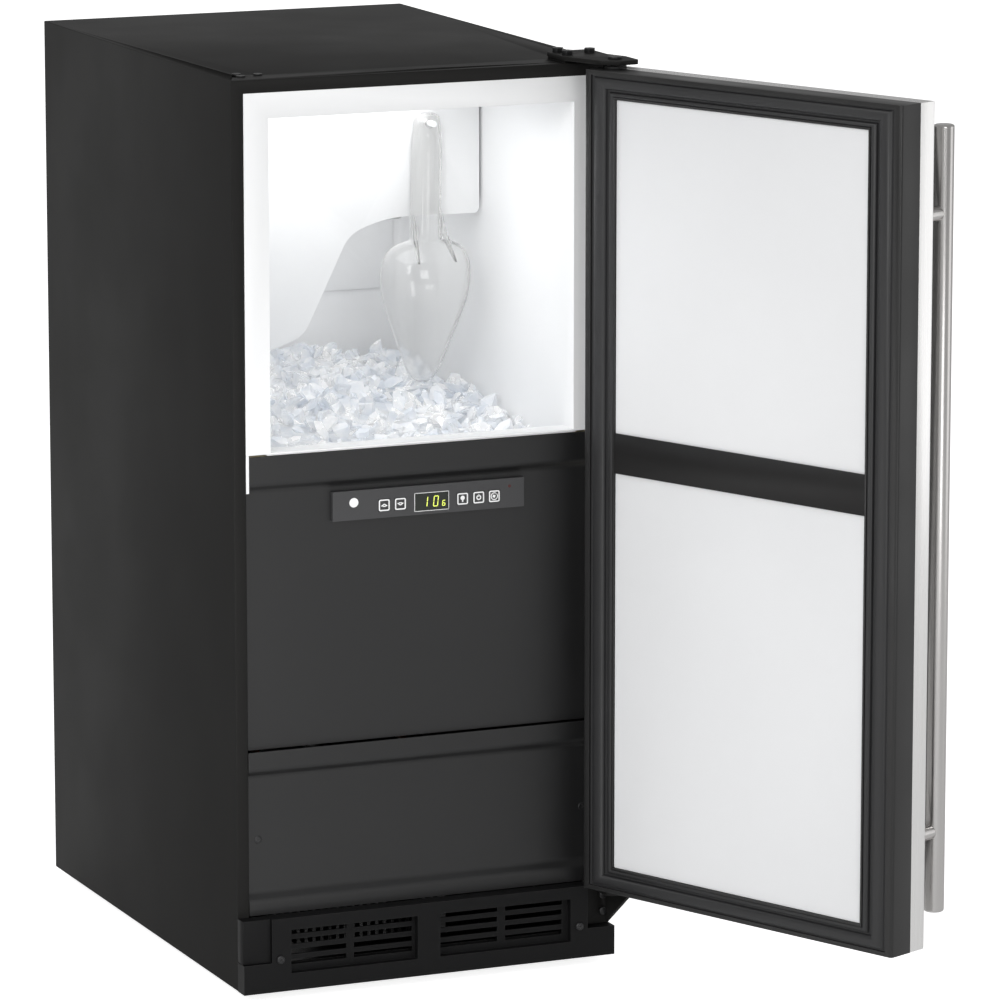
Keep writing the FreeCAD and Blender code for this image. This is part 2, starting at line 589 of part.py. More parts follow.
foam = cut(
    block(("-side + steelGauge + 0.1", "side - steelGauge - 0.1"),
          ("front + steelGauge + 0.1", "rearY - 0.1"),
          ("foamBottom", "cabinetHeight - steelGauge - 0.1")),
    copyOf(linerPlug),
    block(("-side", "side"), ("front - 5", "front + linerWall"),
          ("foamBottom - 5", "linerFlangeTop + 0.4")),
    block(("-side + flangeWidth", "side - flangeWidth"), ("front - 5", "front + 10"),
          ("foamBottom - 5", "binLip - 1")),
    block(("barLeft - 2", "barRight + 2"), ("front - 5", "front + 20"), ("barBottom - 4", "barTop + 4")),
    rod("drainRadius + 1.6", "z", ("drainX", "drainY"), ("foamBottom - 5", "binFloor + 5")),
    rod("pipeRadius + 1", "z", ("suctionX", "suctionY"), ("foamBottom - 5", "suctionZ")),
    rod("pipeRadius + 1", "y", ("suctionX", "suctionZ"), ("180", "suctionY")),
    block(("suctionX - 5", "suctionX + 5"), ("suctionY - 20", "suctionY + 5"),
          ("suctionZ - 20", "suctionZ + 5")),
    rod("waterRadius + 1", "z", ("valveX", "back - valveSetback"), ("foamBottom - 5", "waterZ")),
    rod("waterRadius + 1", "y", ("valveX", "waterZ"), ("binBack", "back - valveSetback")),
    block(("valveX - 4.5", "valveX + 4.5"), ("back - valveSetback - 18", "back - valveSetback + 4.5"),
          ("waterZ - 18", "waterZ + 4.5")),
    copyOf(topScrews), copyOf(plugs))
keep("foam_insulation", foam)

# ---- black front panels: bent sheets between the side flanges ----


def bentPanel(profile):
    owner = body()
    sketch = sketchOn(owner, "YZ_Plane", "-panelHalfWidth")
    outline(sketch, profile)
    pad(owner, sketch, "2 * panelHalfWidth")
    return owner


inner = "panelY + panelGauge"
sunk = "panelY + bendDepth"
sunkInner = "panelY + bendDepth + panelGauge"
upperPanel = bentPanel([
    (sunk, "panelSplit + 0.6"), (sunkInner, "panelSplit + 0.6"), (sunkInner, "upperBend - bendHeight + 0.8"),
    (inner, "upperBend + 0.8"), (inner, "upperTop"), ("panelY", "upperTop"), ("panelY", "upperBend"),
    (sunk, "upperBend - bendHeight")])
barSeat = block(("barLeft - fitGap", "barRight + fitGap"), ("front - 5", "front + 12"),
                ("barBottom - fitGap", "barTop + fitGap"))
earSeats = [block((low, high), ("front - 1", "front + linerWall + fitGap"),
                  ("earBottom - fitGap", "binLip"))
            for low, high in (("-side", "-flangeOut + 3.1"), ("flangeOut - 3.1", "side"))]
keep("upper_front_panel", cut(upperPanel, barSeat, *earSeats))
footBend = "lowerBottom + 14"
lowerPanel = bentPanel([
    ("panelY", "lowerBottom"), (inner, "lowerBottom"), (inner, f"{footBend} - 0.8"),
    (sunkInner, f"{footBend} + bendHeight - 0.8"), (sunkInner, "lowerBend - bendHeight + 0.8"),
    (inner, "lowerBend + 0.8"), (inner, "panelSplit - 0.6"), ("panelY", "panelSplit - 0.6"),
    ("panelY", "lowerBend"), (sunk, "lowerBend - bendHeight"), (sunk, f"{footBend} + bendHeight"),
    ("panelY", footBend)])
keep("lower_access_panel", cut(lowerPanel, copyOf(frontScrews)))

# ---- control bar with five keys, a display window and an alert light ----

keySpots = {"up_button": "-39.4", "down_button": "-23.1", "light_button": "40", "power_button": "56.4",
            "ice_button": "72.3"}
halfHole = "keySize / 2 + keyGap"
keyHoles = [block((f"{x} - ({halfHole})", f"{x} + {halfHole}"), ("front - 5", "front + 30"),
                  (f"keyZ - ({halfHole})", f"keyZ + {halfHole}")) for x in keySpots.values()]
windowHole = block(("windowX - windowWidth / 2", "windowX + windowWidth / 2"), ("front - 5", "front + 30"),
                   ("keyZ - windowHeight / 2", "keyZ + windowHeight / 2"))
keep("control_bezel", cut(
    block(("barLeft", "barRight"), ("barY", "barY + barDepth"), ("barBottom", "barTop")),
    block(("barLeft + barWall", "barRight - barWall"), ("barY + barWall", "barY + barDepth + 1"),
          ("barBottom + barWall", "barTop - barWall")),
    windowHole, rod("ledRadius", "y", ("ledX", "ledZ"), ("front - 5", "front + 30")), *keyHoles))
for label, x in keySpots.items():
    key = block((f"{x} - keySize / 2", f"{x} + keySize / 2"),
                ("front + keyFace", "front + keyFace + keyDepth"),
                ("keyZ - keySize / 2", "keyZ + keySize / 2"))
    keep(label, roundPart(key, "1.2", alongY))
keep("display_window", block(("windowX - windowWidth / 2", "windowX + windowWidth / 2"),
                             ("front + 1.4", "boardY"),
                             ("keyZ - windowHeight / 2", "keyZ + windowHeight / 2")))
keep("alert_light", rod("ledRadius", "y", ("ledX", "ledZ"), ("front + 1.4", "boardY")))
keep("control_board", fuse(
    block(("barLeft + 5", "barRight - 5"), ("boardY", "boardY + boardGauge"),
          ("barBottom + 4", "barTop - 4")),
    *[block((f"{x} - 3", f"{x} + 3"), ("boardY - 0.8", "boardY + 0.5"), ("keyZ - 3", "keyZ + 3"))
      for x in keySpots.values()],
    block(("barRight - 40", "barRight - 18"), ("boardY + boardGauge - 0.2", "boardY + boardGauge + 6"),
          ("barBottom + 7", "barTop - 7"))))

# ---- kick grille, corner filler ----

grilleWindows = (("-142.4", "-14"), ("9", "143.9"))
slotSpans = (("-140.5", "-83.5"), ("-76", "-16.5"), ("12", "71"), ("79", "138"))
sinkY = "kickY + grilleSink"
kick = cut(
    fuse(block(("-side", "side"), ("kickY", "front - fitGap"), ("kickBottom", "kickBarTop")),
         block(("-kickHalfWidth", "kickHalfWidth"), ("kickY", "front - fitGap"),
               ("kickBottom", "kickTop"))),
    block(("-side + kickWall", "side - kickWall"), ("kickY + kickWall", "front"),
          ("kickBottom + kickWall", "kickBarTop - kickWall")),
    block(("-kickHalfWidth + kickWall", "kickHalfWidth - kickWall"), ("kickY + kickWall", "front"),
          ("kickBottom + kickWall", "kickTop - kickWall")))
cases = [block((f"{low} - 2", f"{high} + 2"), ("kickY", f"{sinkY} + kickWall"),
               ("grilleBottom - 2", "grilleTop + 2"))
         for low, high in grilleWindows]
sinks = [block((low, high), ("kickY - 1", sinkY), ("grilleBottom", "grilleTop")) for low,
         high in grilleWindows]
slots = [block((low, high), (f"{sinkY} - 2", f"{sinkY} + kickWall + 1"),
               (f"slotFirst + slotPitch * {i} - slotHeight / 2",
                f"slotFirst + slotPitch * {i} + slotHeight / 2"))
         for i in range(4) for low, high in slotSpans]
keep("kick_grille", cut(fuse(kick, *cases), copyOf(frontScrews), *sinks, *slots))
keep("corner_filler", block(("-side", "-kickHalfWidth - fitGap"), ("kickY + 3", "front - fitGap"),
                            ("kickBarTop + fitGap", "kickTop")))

# ---- hinge plates and pins ----

keep("hinge_pins", group(
    fuse(rod("pinRadius", "z", ("pinX", "pinY"), ("doorTop - 17", f"{plateTop} + 0.5")),
         rod("6.5", "z", ("pinX", "pinY"), (plateTop, f"{plateTop} + 2.5"))),
    fuse(rod("pinRadius", "z", ("pinX", "pinY"), ("shelfBottom - 0.5", "doorBottom + 17")),
         rod("6.5", "z", ("pinX", "pinY"), ("shelfBottom - 2.5", "shelfBottom")))))
topPlate = body()
topSketch = sketchOn(topPlate, "XY_Plane", "cabinetHeight + plateLift")
outline(topSketch, [("143", "front + 45"), ("188.5", "front + 45"), ("188.5", "front + 4"),
                    ("197.5", "front - 18"),
                    ("197.5", "pinY - 17"), ("176", "pinY - 20"), ("161", "pinY - 8"),
                    ("143", "front + 2")])
pad(topPlate, topSketch, "plateGauge")
roundBody(topPlate, "6", lambda a, b: upright(a, b) and a.y < value("front + 50"))
topHoles = [copyOf(topScrews), rod("pinRadius", "z", ("pinX", "pinY"),
                                   ("cabinetHeight - 5", "cabinetHeight + 20"))]
keep("top_hinge_plate", cut(fuse(topPlate, block(("145", "186"), ("front + 4", "front + 43"),
                                                 ("cabinetHeight", "cabinetHeight + plateLift + 0.5"))),
                                                 *topHoles))
gusset = body()
gussetSketch = sketchOn(gusset, "YZ_Plane", "side - 3.4")
outline(gussetSketch, [("front - shelfReach", "shelfBottom + 0.2"), ("front - 3", "38"),
                       ("front - fitGap", "38"),
                       ("front - fitGap", "shelfBottom + 0.2")])
pad(gusset, gussetSketch, "3")
shelf = roundPart(block(("kickHalfWidth + 1", "side - 0.4"), ("front - shelfReach", "front - fitGap"),
                        ("shelfBottom", "shelfTop")),
                  "9", lambda a, b: upright(a, b) and a.y < value("front - 20"))
bracket = fuse(shelf, gusset, block(("kickHalfWidth + 1", "side - 0.4"), ("front - 3.3", "front - fitGap"),
                                    ("38", "shelfTop")))
keep("bottom_hinge_bracket", cut(bracket, copyOf(lowerScrews),
                                 rod("pinRadius", "z", ("pinX", "pinY"),
                                     ("shelfBottom - 5", "shelfTop + 5"))))

# ---- machine space: compressor, condenser with its fan, pipes, valve, power inlet, drain ----

can = body()
canSketch = sketchOn(can, "XZ_Plane")
outline(canSketch, [("0", "compressorBottom + 4"), ("46", "compressorBottom + 4"),
                    ("compressorRadius", "compressorBottom + 24"),
                    ("compressorRadius", "compressorTop - 50"),
                    ("compressorRadius - 3", "compressorTop - 30"),
                    ("compressorRadius - 22", "compressorTop - 8"), ("20", "compressorTop"),
                    ("0", "compressorTop")])
revolve(can, canSketch)
bind(can, "Placement.Base.x", "compressorX")
bind(can, "Placement.Base.y", "compressorY")
feetPlate = block(("compressorX - 76", "compressorX + 76"), ("compressorY - 48", "compressorY + 48"),
                  ("compressorBottom - 3", "compressorBottom + 5"))
keep("compressor", fuse(can, feetPlate))

coilBody = body()
coilSketch = sketchOn(coilBody, "XY_Plane", "condenserBottom")
outline(coilSketch, [("condenserLeft", "condenserFront"), ("condenserRight", "condenserFront"),
                     ("condenserRight", "condenserBack"), ("condenserLeft", "condenserBack")])
pad(coilBody, coilSketch, "condenserTop - condenserBottom")
gapSketch = sketchOn(coilBody, "XY_Plane", "condenserBottom")
outline(gapSketch, [("condenserLeft + 3", "condenserFront - 1"),
                    ("condenserLeft + 3 + finSlot", "condenserFront - 1"),
                    ("condenserLeft + 3 + finSlot", "condenserBack - 8"),
                    ("condenserLeft + 3", "condenserBack - 8")])
coilCut = pocket(coilBody, gapSketch, "condenserTop - condenserBottom", True)
repeat(coilBody, coilCut, "X_Axis", "finPitch * 23", 24)
keep("condenser", coilBody)

coolCentre = ("coolFanX", "coolFanZ")
plate = cut(block(("condenserLeft", "condenserRight"), ("condenserBack + 2", "condenserBack + 5"),
                  ("condenserBottom", "condenserTop")),
            rod("coolFanRadius + 4", "y", coolCentre, ("condenserBack", "condenserBack + 8")))
arms = [block((low, high), ("condenserBack + 4.5", "condenserBack + 50"), ("coolFanZ - 5", "coolFanZ + 5"))
        for low, high in (("coolFanX - 86", "coolFanX - 80"), ("coolFanX + 80", "coolFanX + 86"))]
bridge = block(("coolFanX - 86", "coolFanX + 86"), ("condenserBack + 47", "condenserBack + 50"),
               ("coolFanZ - 5", "coolFanZ + 5"))
shaftHole = rod("3.5", "y", coolCentre, ("condenserBack + 45", "condenserBack + 52"))
keep("condenser_fan_frame", cut(fuse(plate, *arms, bridge), shaftHole))
keep("condenser_fan_motor", rod("26", "y", coolCentre, ("condenserBack + 50", "condenserBack + 88")))
keep("condenser_fan_blade", fuse(
    *propeller("coolFanRadius", "14", "22", "condenserBack + 12", "coolFanX", "coolFanZ", 66),
    rod("3", "y", coolCentre, ("condenserBack + 30", "condenserBack + 49.7"))))

pipes = [
    tube("pipeRadius", [("compressorX", "compressorY + 20", "compressorTop"),
                        ("compressorX", "compressorY + 20", "235"),
                        ("suctionX", "suctionY", "235"), ("suctionX", "suctionY", "suctionZ"),
                        ("suctionX", "binBack + niche - 2", "suctionZ")], "14"),
    tube("pipeRadius - 1", [("compressorX - 20", "compressorY", "compressorTop"),
                            ("compressorX - 20", "compressorY", "225"),
                            ("0", "-150", "225"), ("0", "-211", "225"), ("0", "-211", "condenserTop")],
                            "7"),
    tube("pipeRadius - 1", [("-150", "-211", "condenserTop"), ("-150", "-211", "226"),
                            ("-150", "-120", "226"),
                            ("-150", "-120", "60"), ("-150", "-60", "60"), ("-150", "-60", "150")], "9")]
drier = rod("9", "z", ("-150", "-60"), ("146", "225"))
keep("refrigerant_pipes", group(*pipes[:2], fuse(pipes[2], drier)))
keep("water_valve", fuse(
    block(("valveX - 18", "valveX + 18"), ("back - 60", "back - 28"), ("64", "96")),
    rod("12", "z", ("valveX", "back - valveSetback"), ("95", "122")),
    rod("6.5", "y", ("valveX", "80"), ("back - 30", "back - 0.5")),
    tube("waterRadius", [("valveX", "back - valveSetback", "121"),
                         ("valveX", "back - valveSetback", "waterZ"),
                         ("valveX", "78", "waterZ"), ("valveX", "78", "waterZ - 18")], "11")))
keep("power_inlet", cut(
    fuse(block(("68", "98"), ("back - 24", "back - 2.5"), ("52", "76")),
         block(("60", "106"), ("back - 2.8", "back - 0.3"), ("50", "78"))),
    block(("72", "94"), ("back - 18", "back + 1"), ("56", "72"))))
hoseRun = [("drainX", "drainY", "binFloor - 0.5"), ("drainX", "drainY", "48"),
           ("drainX", "back - 0.5", "48")]
keep("drain_hose", cut(tube("drainRadius", hoseRun, "30"), tube("drainRadius - hoseWall", hoseRun, "30")))

for side, x in (("left", "-footX"), ("right", "footX")):
    for end, y in (("front", "-footY"), ("rear", "footY")):
        leg = body()
        legSketch = sketchOn(leg, "XZ_Plane")
        outline(legSketch, [("0", "0"), ("footRadius - 2", "0"), ("footRadius", "2"),
                            ("footRadius", "footHeight - 3"),
                            ("studRadius + 3", "footHeight"), ("studRadius", "footHeight"),
                            ("studRadius", "studTop"),
                            ("0", "studTop")])
        revolve(leg, legSketch)
        bind(leg, "Placement.Base.x", x)
        bind(leg, "Placement.Base.y", y)
        keep(f"leveling_leg_{end}_{side}", leg)

# ---- scoop hung on the shroud's peg, its open side to the rear ----

rimY = "scoopRim"
handleOuter = rod("scoopHandle", "z", ("scoopX", rimY), ("scoopNeck - 12", "scoopTop"))
handleInner = rod("scoopHandle - scoopWall", "z", ("scoopX", rimY),
                  ("scoopNeck - 13", "scoopTop - scoopWall"))
shoulder = taper("scoopBowl", "scoopHandle", "z", ("scoopX", rimY), ("scoopWide + 22", "scoopNeck"))
waist = rod("scoopBowl", "z", ("scoopX", rimY), ("scoopWide - 10", "scoopWide + 22.2"))
nose = taper("scoopTipRadius", "scoopBowl", "z", ("scoopX", rimY), ("scoopTip", "scoopWide - 9.8"))
shoulderIn = taper("scoopBowl - scoopWall", "scoopHandle - scoopWall", "z", ("scoopX", rimY),
                   ("scoopWide + 21.4", "scoopNeck - 0.6"))
waistIn = rod("scoopBowl - scoopWall", "z", ("scoopX", rimY), ("scoopWide - 10", "scoopWide + 21.6"))
noseIn = taper("scoopTipRadius - scoopWall", "scoopBowl - scoopWall", "z", ("scoopX", rimY),
               ("scoopTip - 0.4", "scoopWide - 9.8"))
scoopHalf = block(("scoopX - 60", "scoopX + 60"), ("scoopRim", "scoopRim + 60"),
                  ("scoopTip - 20", "scoopTop + 10"))
pegHole = rod("hookRadius + 1.2", "y", ("scoopX - 1", "hookZ - 0.8"), ("scoopRim - 30", "scoopRim + 5"))
keep("scoop", cut(fuse(handleOuter, shoulder, waist, nose), handleInner, shoulderIn, waistIn, noseIn,
                  scoopHalf, pegHole))

# ---- door, drawn closed: steel skin, black frame, foam between them, white panels and the seal ----


def frameBlock(insetSide, insetEnd, along):
    # a block set in from the door's edges
    return block((f"-side + ({insetSide})", f"side - ({insetSide})"), along,
                 (f"doorBottom + ({insetEnd})", f"doorTop - ({insetEnd})"))


pinSeats = [rod("bushRadius + 0.05", "z", ("pinX", "pinY"),
                ("doorBottom - 5", "doorBottom + bushLength + 0.3")),
            rod("bushRadius + 0.05", "z", ("pinX", "pinY"), ("doorTop - bushLength - 0.3", "doorTop + 5"))]
postHoles = [rod("3.05", "y", ("handleX", up),
                 ("doorOuter - 1", "doorOuter + 12")) for up in ("postLow", "postHigh")]
doorNodes = {}
skinBlock = roundPart(frameBlock("0", "0", ("doorOuter", "seamY")), "2",
                      lambda a, b: near(a.y, b.y) and near(a.y, value("doorOuter")))
doorNodes["door_skin"] = cut(skinBlock, frameBlock("skinGauge", "skinGauge",
                                                   ("doorOuter + skinGauge", "seamY + 1")),
                             *pinSeats, *postHoles)
frameSolid = roundPart(frameBlock("0", "0", ("seamY", "doorFace")), "edgeRound",
                       lambda a, b: upright(a, b) and near(a.y, value("doorFace")))
doorNodes["door_inner_frame"] = cut(
    frameSolid, frameBlock("doorWall", "doorWall", ("seamY - 1", "doorFace - doorPlate")),
    frameBlock("borderSide", "borderEnd", ("seamY - 1", "doorFace + 1")),
    cut(frameBlock("sealSide", "sealEnd", ("doorFace - sealSink", "doorFace + 1")),
        frameBlock("borderSide - 2", "borderEnd - 2", ("doorFace - sealSink - 1", "doorFace + 2"))),
    *pinSeats)
doorNodes["door_gasket"] = fuse(
    cut(frameBlock("sealSide + 0.3", "sealEnd + 0.3", ("doorFace - sealSink", "doorFace - 1.5")),
        frameBlock("borderSide - 2.3", "borderEnd - 2.3", ("doorFace - 12", "doorFace + 2"))),
    cut(frameBlock("bulbSide", "bulbEnd", ("doorFace - 2.5", "doorFace + sealProud")),
        frameBlock("bulbSide + bulbWidth", "bulbEnd + bulbWidth * 0.8", ("doorFace - 12", "doorFace + 5"))),
    cut(frameBlock("borderSide - 6", "borderEnd - 4.5", ("doorFace - 2.5", "doorFace")),
        frameBlock("borderSide - 2.3", "borderEnd - 2.3", ("doorFace - 12", "doorFace + 5"))))
bushes = []
for span, flangeSpan in (
        (("doorBottom - 0.2", "doorBottom + bushLength"), ("doorBottom - bushFlangeHeight", "doorBottom")),
        (("doorTop - bushLength", "doorTop + 0.2"), ("doorTop", "doorTop + bushFlangeHeight"))):
    bushes.append(cut(
        fuse(rod("bushRadius", "z", ("pinX", "pinY"), span),
             rod("bushFlange", "z", ("pinX", "pinY"), flangeSpan)),
        rod("pinRadius + pinFit", "z", ("pinX", "pinY"), (f"{span[0]} - 5", f"{span[1]} + 5"))))
doorNodes["door_bushes"] = group(*bushes)
panelBack = "doorFace - doorPanelSink - doorPanelGauge"
doorNodes["door_foam"] = cut(
    fuse(frameBlock("skinGauge + 0.1", "skinGauge + 0.1", ("doorOuter + skinGauge + 0.1", "seamY")),
         frameBlock("doorWall + 0.1", "doorWall + 0.1", ("seamY - 0.1", "doorFace - doorPlate - 0.1")),
         frameBlock("borderSide + 0.3", "borderEnd + 0.3", ("doorFace - doorPlate - 0.2", panelBack))),
    *pinSeats,
    *[rod("6.1", "y", ("handleX", up), ("doorOuter", "doorOuter + 14")) for up in ("postLow", "postHigh")])
whitePanels = [
    block(("-side + borderSide + fitGap", "side - borderSide - fitGap"),
          (panelBack, "doorFace - doorPanelSink"), span)
    for span in (("doorBottom + borderEnd + fitGap", "midBarBottom + 1.5"),
                 ("midBarTop - 1.5", "doorTop - borderEnd - fitGap"))]
doorNodes["door_white_panels"] = group(*whitePanels)
doorNodes["door_middle_bar"] = fuse(
    block(("-side + borderSide + fitGap", "side - borderSide - fitGap"),
          ("doorFace - doorPanelSink", "doorFace"),
          ("midBarBottom", "midBarTop")),
    block(("-side + borderSide + fitGap", "side - borderSide - fitGap"),
          (panelBack, "doorFace - doorPanelSink + 0.1"),
          ("midBarBottom + 1.7", "midBarTop - 1.7")))
grip = rod("barRadius", "z", ("handleX", "handleY"), ("barLow", "barHigh"))
doc.recompute()
gripRound = doc.addObject("Part::Fillet", "Rounded")
gripRound.Base = grip
gripRound.Edges = [(number, value("barEndRound"), value("barEndRound"))
                   for number, edge in enumerate(grip.Shape.Edges, 1) if len(edge.Vertexes) == 1]
doorNodes["handle_bar"] = gripRound
doorNodes["handle_posts"] = group(*[
    fuse(cut(rod("postRadius", "y", ("handleX", up), ("handleY", "doorOuter")),
             rod("barRadius", "z", ("handleX", "handleY"), (f"{up} - 30", f"{up} + 30"))),
         rod("3", "y", ("handleX", up), ("doorOuter - 1", "doorOuter + 12")),
         rod("6", "y", ("handleX", up), ("doorOuter + skinGauge",
                                         "doorOuter + 5"))) for up in ("postLow", "postHigh")])
hingeLine = FreeCAD.Vector(value("pinX"), value("pinY"), 0)
swing = FreeCAD.Rotation(FreeCAD.Vector(0, 0, 1), value("doorOpen"))
for label, piece in doorNodes.items():
    piece.Placement = FreeCAD.Placement(FreeCAD.Vector(), swing, hingeLine)
    keep(label, piece)

# ---- everything is checked before anything is written ----

doc.recompute()
for item in doc.Objects:
    if "Invalid" in item.State or "Error" in item.State:
        raise RuntimeError(f"{item.Label} ({item.TypeId}) failed: {item.State}")
for node in nodes:
    if node.Shape.isNull() or not node.Shape.isValid():
        raise RuntimeError(node.Label + " has no valid shape")
os.makedirs("parts", exist_ok=True)
for node in nodes:
    node.Shape.exportStep(f"parts/{node.Label}.step")
    print(f"{node.Label}: {len(node.Shape.Solids)} solids, {node.Shape.Volume / 1000:.1f} cm3")
print(len(nodes), "nodes")
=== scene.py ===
import math
import random
import bmesh
import bpy
from mathutils import Matrix, Vector, noise


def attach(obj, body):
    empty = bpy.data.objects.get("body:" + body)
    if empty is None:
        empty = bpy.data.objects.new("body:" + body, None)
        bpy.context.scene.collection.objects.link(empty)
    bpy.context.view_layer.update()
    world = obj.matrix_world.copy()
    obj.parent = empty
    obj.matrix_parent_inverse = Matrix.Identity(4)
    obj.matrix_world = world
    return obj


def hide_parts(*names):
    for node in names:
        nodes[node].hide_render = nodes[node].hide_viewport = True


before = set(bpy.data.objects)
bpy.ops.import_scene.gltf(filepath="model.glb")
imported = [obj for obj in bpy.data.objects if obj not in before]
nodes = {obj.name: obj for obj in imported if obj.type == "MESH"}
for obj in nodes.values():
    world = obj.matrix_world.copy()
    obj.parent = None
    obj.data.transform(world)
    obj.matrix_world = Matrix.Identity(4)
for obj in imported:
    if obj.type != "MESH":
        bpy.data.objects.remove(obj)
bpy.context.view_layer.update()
print("frame loaded:", len(nodes), "CAD nodes")

# The door is modelled closed, in millimetres turned to metres, and then swung about its hinge line.
door = {"hingeX": 0.17963, "hingeY": -0.28979, "open": 113.8, "side": 0.1897, "bottom": 0.0843, "top": 0.8655,
        "face": -0.259, "outer": -0.3063}
hinge = Vector((door["hingeX"], door["hingeY"], 0))
swing = (Matrix.Translation(hinge) @ Matrix.Rotation(math.radians(door["open"]), 4, "Z")
         @ Matrix.Translation(-hinge))


# ways of working shared by all the pieces

def letGo():
    if bpy.context.object and bpy.context.object.mode != "OBJECT":
        bpy.ops.object.mode_set(mode="OBJECT")
    bpy.ops.object.select_all(action="DESELECT")


def takeUp(piece):
    letGo()
    piece.select_set(True)
    bpy.context.view_layer.objects.active = piece


def editing(piece, mode="FACE", everything=False):
    takeUp(piece)
    bpy.ops.object.mode_set(mode="EDIT")
    bpy.ops.mesh.select_mode(type=mode)
    bpy.ops.mesh.select_all(action="SELECT" if everything else "DESELECT")


def pick(piece, kind, wanted):
    # selects verts, edges or faces of the mesh in edit mode by a rule
    mesh = bmesh.from_edit_mesh(piece.data)
    for item in getattr(mesh, kind):
        item.select_set(False)
    for item in getattr(mesh, kind):
        if wanted(item):
            item.select_set(True)
    mesh.select_flush_mode()
    bmesh.update_edit_mesh(piece.data)


def middle(edge):
    return (edge.verts[0].co + edge.verts[1].co) / 2


def cubeAt(low, high):
    letGo()
    low, high = Vector(low), Vector(high)
    bpy.ops.mesh.primitive_cube_add(size=1, location=(low + high) / 2)
    piece = bpy.context.object
    piece.scale = high - low
    bpy.ops.object.transform_apply(location=True, rotation=True, scale=True)
    return piece


def bar(radius, start, end, sides=32):
    # a round bar from one point to another
    letGo()
    start, end = Vector(start), Vector(end)
    run = end - start
    bpy.ops.mesh.primitive_cylinder_add(vertices=sides, radius=radius, depth=run.length, location=(start + end) / 2,
                                        rotation=run.to_track_quat("Z", "Y").to_euler())
    piece = bpy.context.object
    bpy.ops.object.transform_apply(location=True, rotation=True, scale=True)
    return piece


def finishWith(piece, kind, **settings):
    # adds a modifier and applies it at once
    takeUp(piece)
    step = piece.modifiers.new(kind.title(), kind)
    for name, choice in settings.items():
        setattr(step, name, choice)
    bpy.ops.object.modifier_apply(modifier=step.name)


def joined(first, *others):
    takeUp(first)
    for other in others:
        other.select_set(True)
    bpy.ops.object.join()
    return first


def cleaned(piece):
    editing(piece, "VERT", True)
    bpy.ops.mesh.remove_doubles(threshold=0.000002)
    bpy.ops.mesh.normals_make_consistent(inside=False)
    letGo()


def facingFront(piece):
    # turns an open shell so that its outer side looks to the front
    if sum(face.normal.y * face.area for face in piece.data.polygons) > 0:
        editing(piece, "FACE", True)
        bpy.ops.mesh.flip_normals()
        letGo()


def rest(piece, name, body, material, standsFor=(), angle=35):
    # names the finished piece, gives it its finish and its body
    takeUp(piece)
    bpy.ops.object.transform_apply(location=True, rotation=True, scale=True)
    bpy.ops.object.shade_smooth_by_angle(angle=math.radians(angle))
    piece.name = name
    piece.data.name = name
    piece.data.materials.clear()
    piece.data.materials.append(material)
    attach(piece, body)
    if standsFor:
        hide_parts(*standsFor)
    return piece


# node groups that several finishes share

def newGroup(name, inputs, outputs):
    group = bpy.data.node_groups.new(name, "ShaderNodeTree")
    for label, start in inputs:
        socket = group.interface.new_socket(name=label, in_out="INPUT", socket_type="NodeSocketFloat")
        socket.default_value = start
    for label, kind in outputs:
        group.interface.new_socket(name=label, in_out="OUTPUT", socket_type=kind)
    return group, group.nodes.new("NodeGroupInput"), group.nodes.new("NodeGroupOutput")


def put(tree, kind, **settings):
    node = tree.nodes.new(kind)
    for name, choice in settings.items():
        setattr(node, name, choice)
    return node


def mathNode(tree, operation, first, second, clamp=False):
    node = put(tree, "ShaderNodeMath", operation=operation, use_clamp=clamp)
    for socket, source in zip(node.inputs, (first, second)):
        if hasattr(source, "is_output"):
            tree.links.new(source, socket)
        else:
            socket.default_value = source
    return node.outputs[0]


def grainGroup():
    # a fine even texture with a slower variation over it
    group, into, out = newGroup("fineGrain", [("Scale", 900), ("Slow Scale", 9)],
                                [("Height", "NodeSocketFloat"), ("Variation", "NodeSocketFloat")])
    place = put(group, "ShaderNodeTexCoord")
    fine = put(group, "ShaderNodeTexNoise")
    fine.inputs["Detail"].default_value = 3
    slow = put(group, "ShaderNodeTexNoise")
    slow.inputs["Detail"].default_value = 2
    for texture, socket in ((fine, "Scale"), (slow, "Slow Scale")):
        group.links.new(place.outputs["Object"], texture.inputs["Vector"])
        group.links.new(into.outputs[socket], texture.inputs["Scale"])
    group.links.new(fine.outputs["Fac"], out.inputs["Height"])
    group.links.new(slow.outputs["Fac"], out.inputs["Variation"])
    return group


def wearGroup():
    # a mask that is bright along worn edges
    group, into, out = newGroup("edgeWear", [("Radius", 0.0012), ("Amount", 0.5)], [("Mask", "NodeSocketFloat")])
    rounded = put(group, "ShaderNodeBevel", samples=4)
    group.links.new(into.outputs["Radius"], rounded.inputs["Radius"])
    surface = put(group, "ShaderNodeNewGeometry")
    compare = put(group, "ShaderNodeVectorMath", operation="DOT_PRODUCT")
    group.links.new(rounded.outputs["Normal"], compare.inputs[0])
    group.links.new(surface.outputs["Normal"], compare.inputs[1])
    turned = mathNode(group, "SUBTRACT", 1.0, compare.outputs["Value"])
    strong = mathNode(group, "MULTIPLY", turned, 3.0, True)
    place = put(group, "ShaderNodeTexCoord")
    patches = put(group, "ShaderNodeTexNoise")
    patches.inputs["Scale"].default_value = 60
    group.links.new(place.outputs["Object"], patches.inputs["Vector"])
    broken = mathNode(group, "MULTIPLY", strong, patches.outputs["Fac"])
    final = mathNode(group, "MULTIPLY", broken, into.outputs["Amount"], True)
    group.links.new(final, out.inputs["Mask"])
    return group


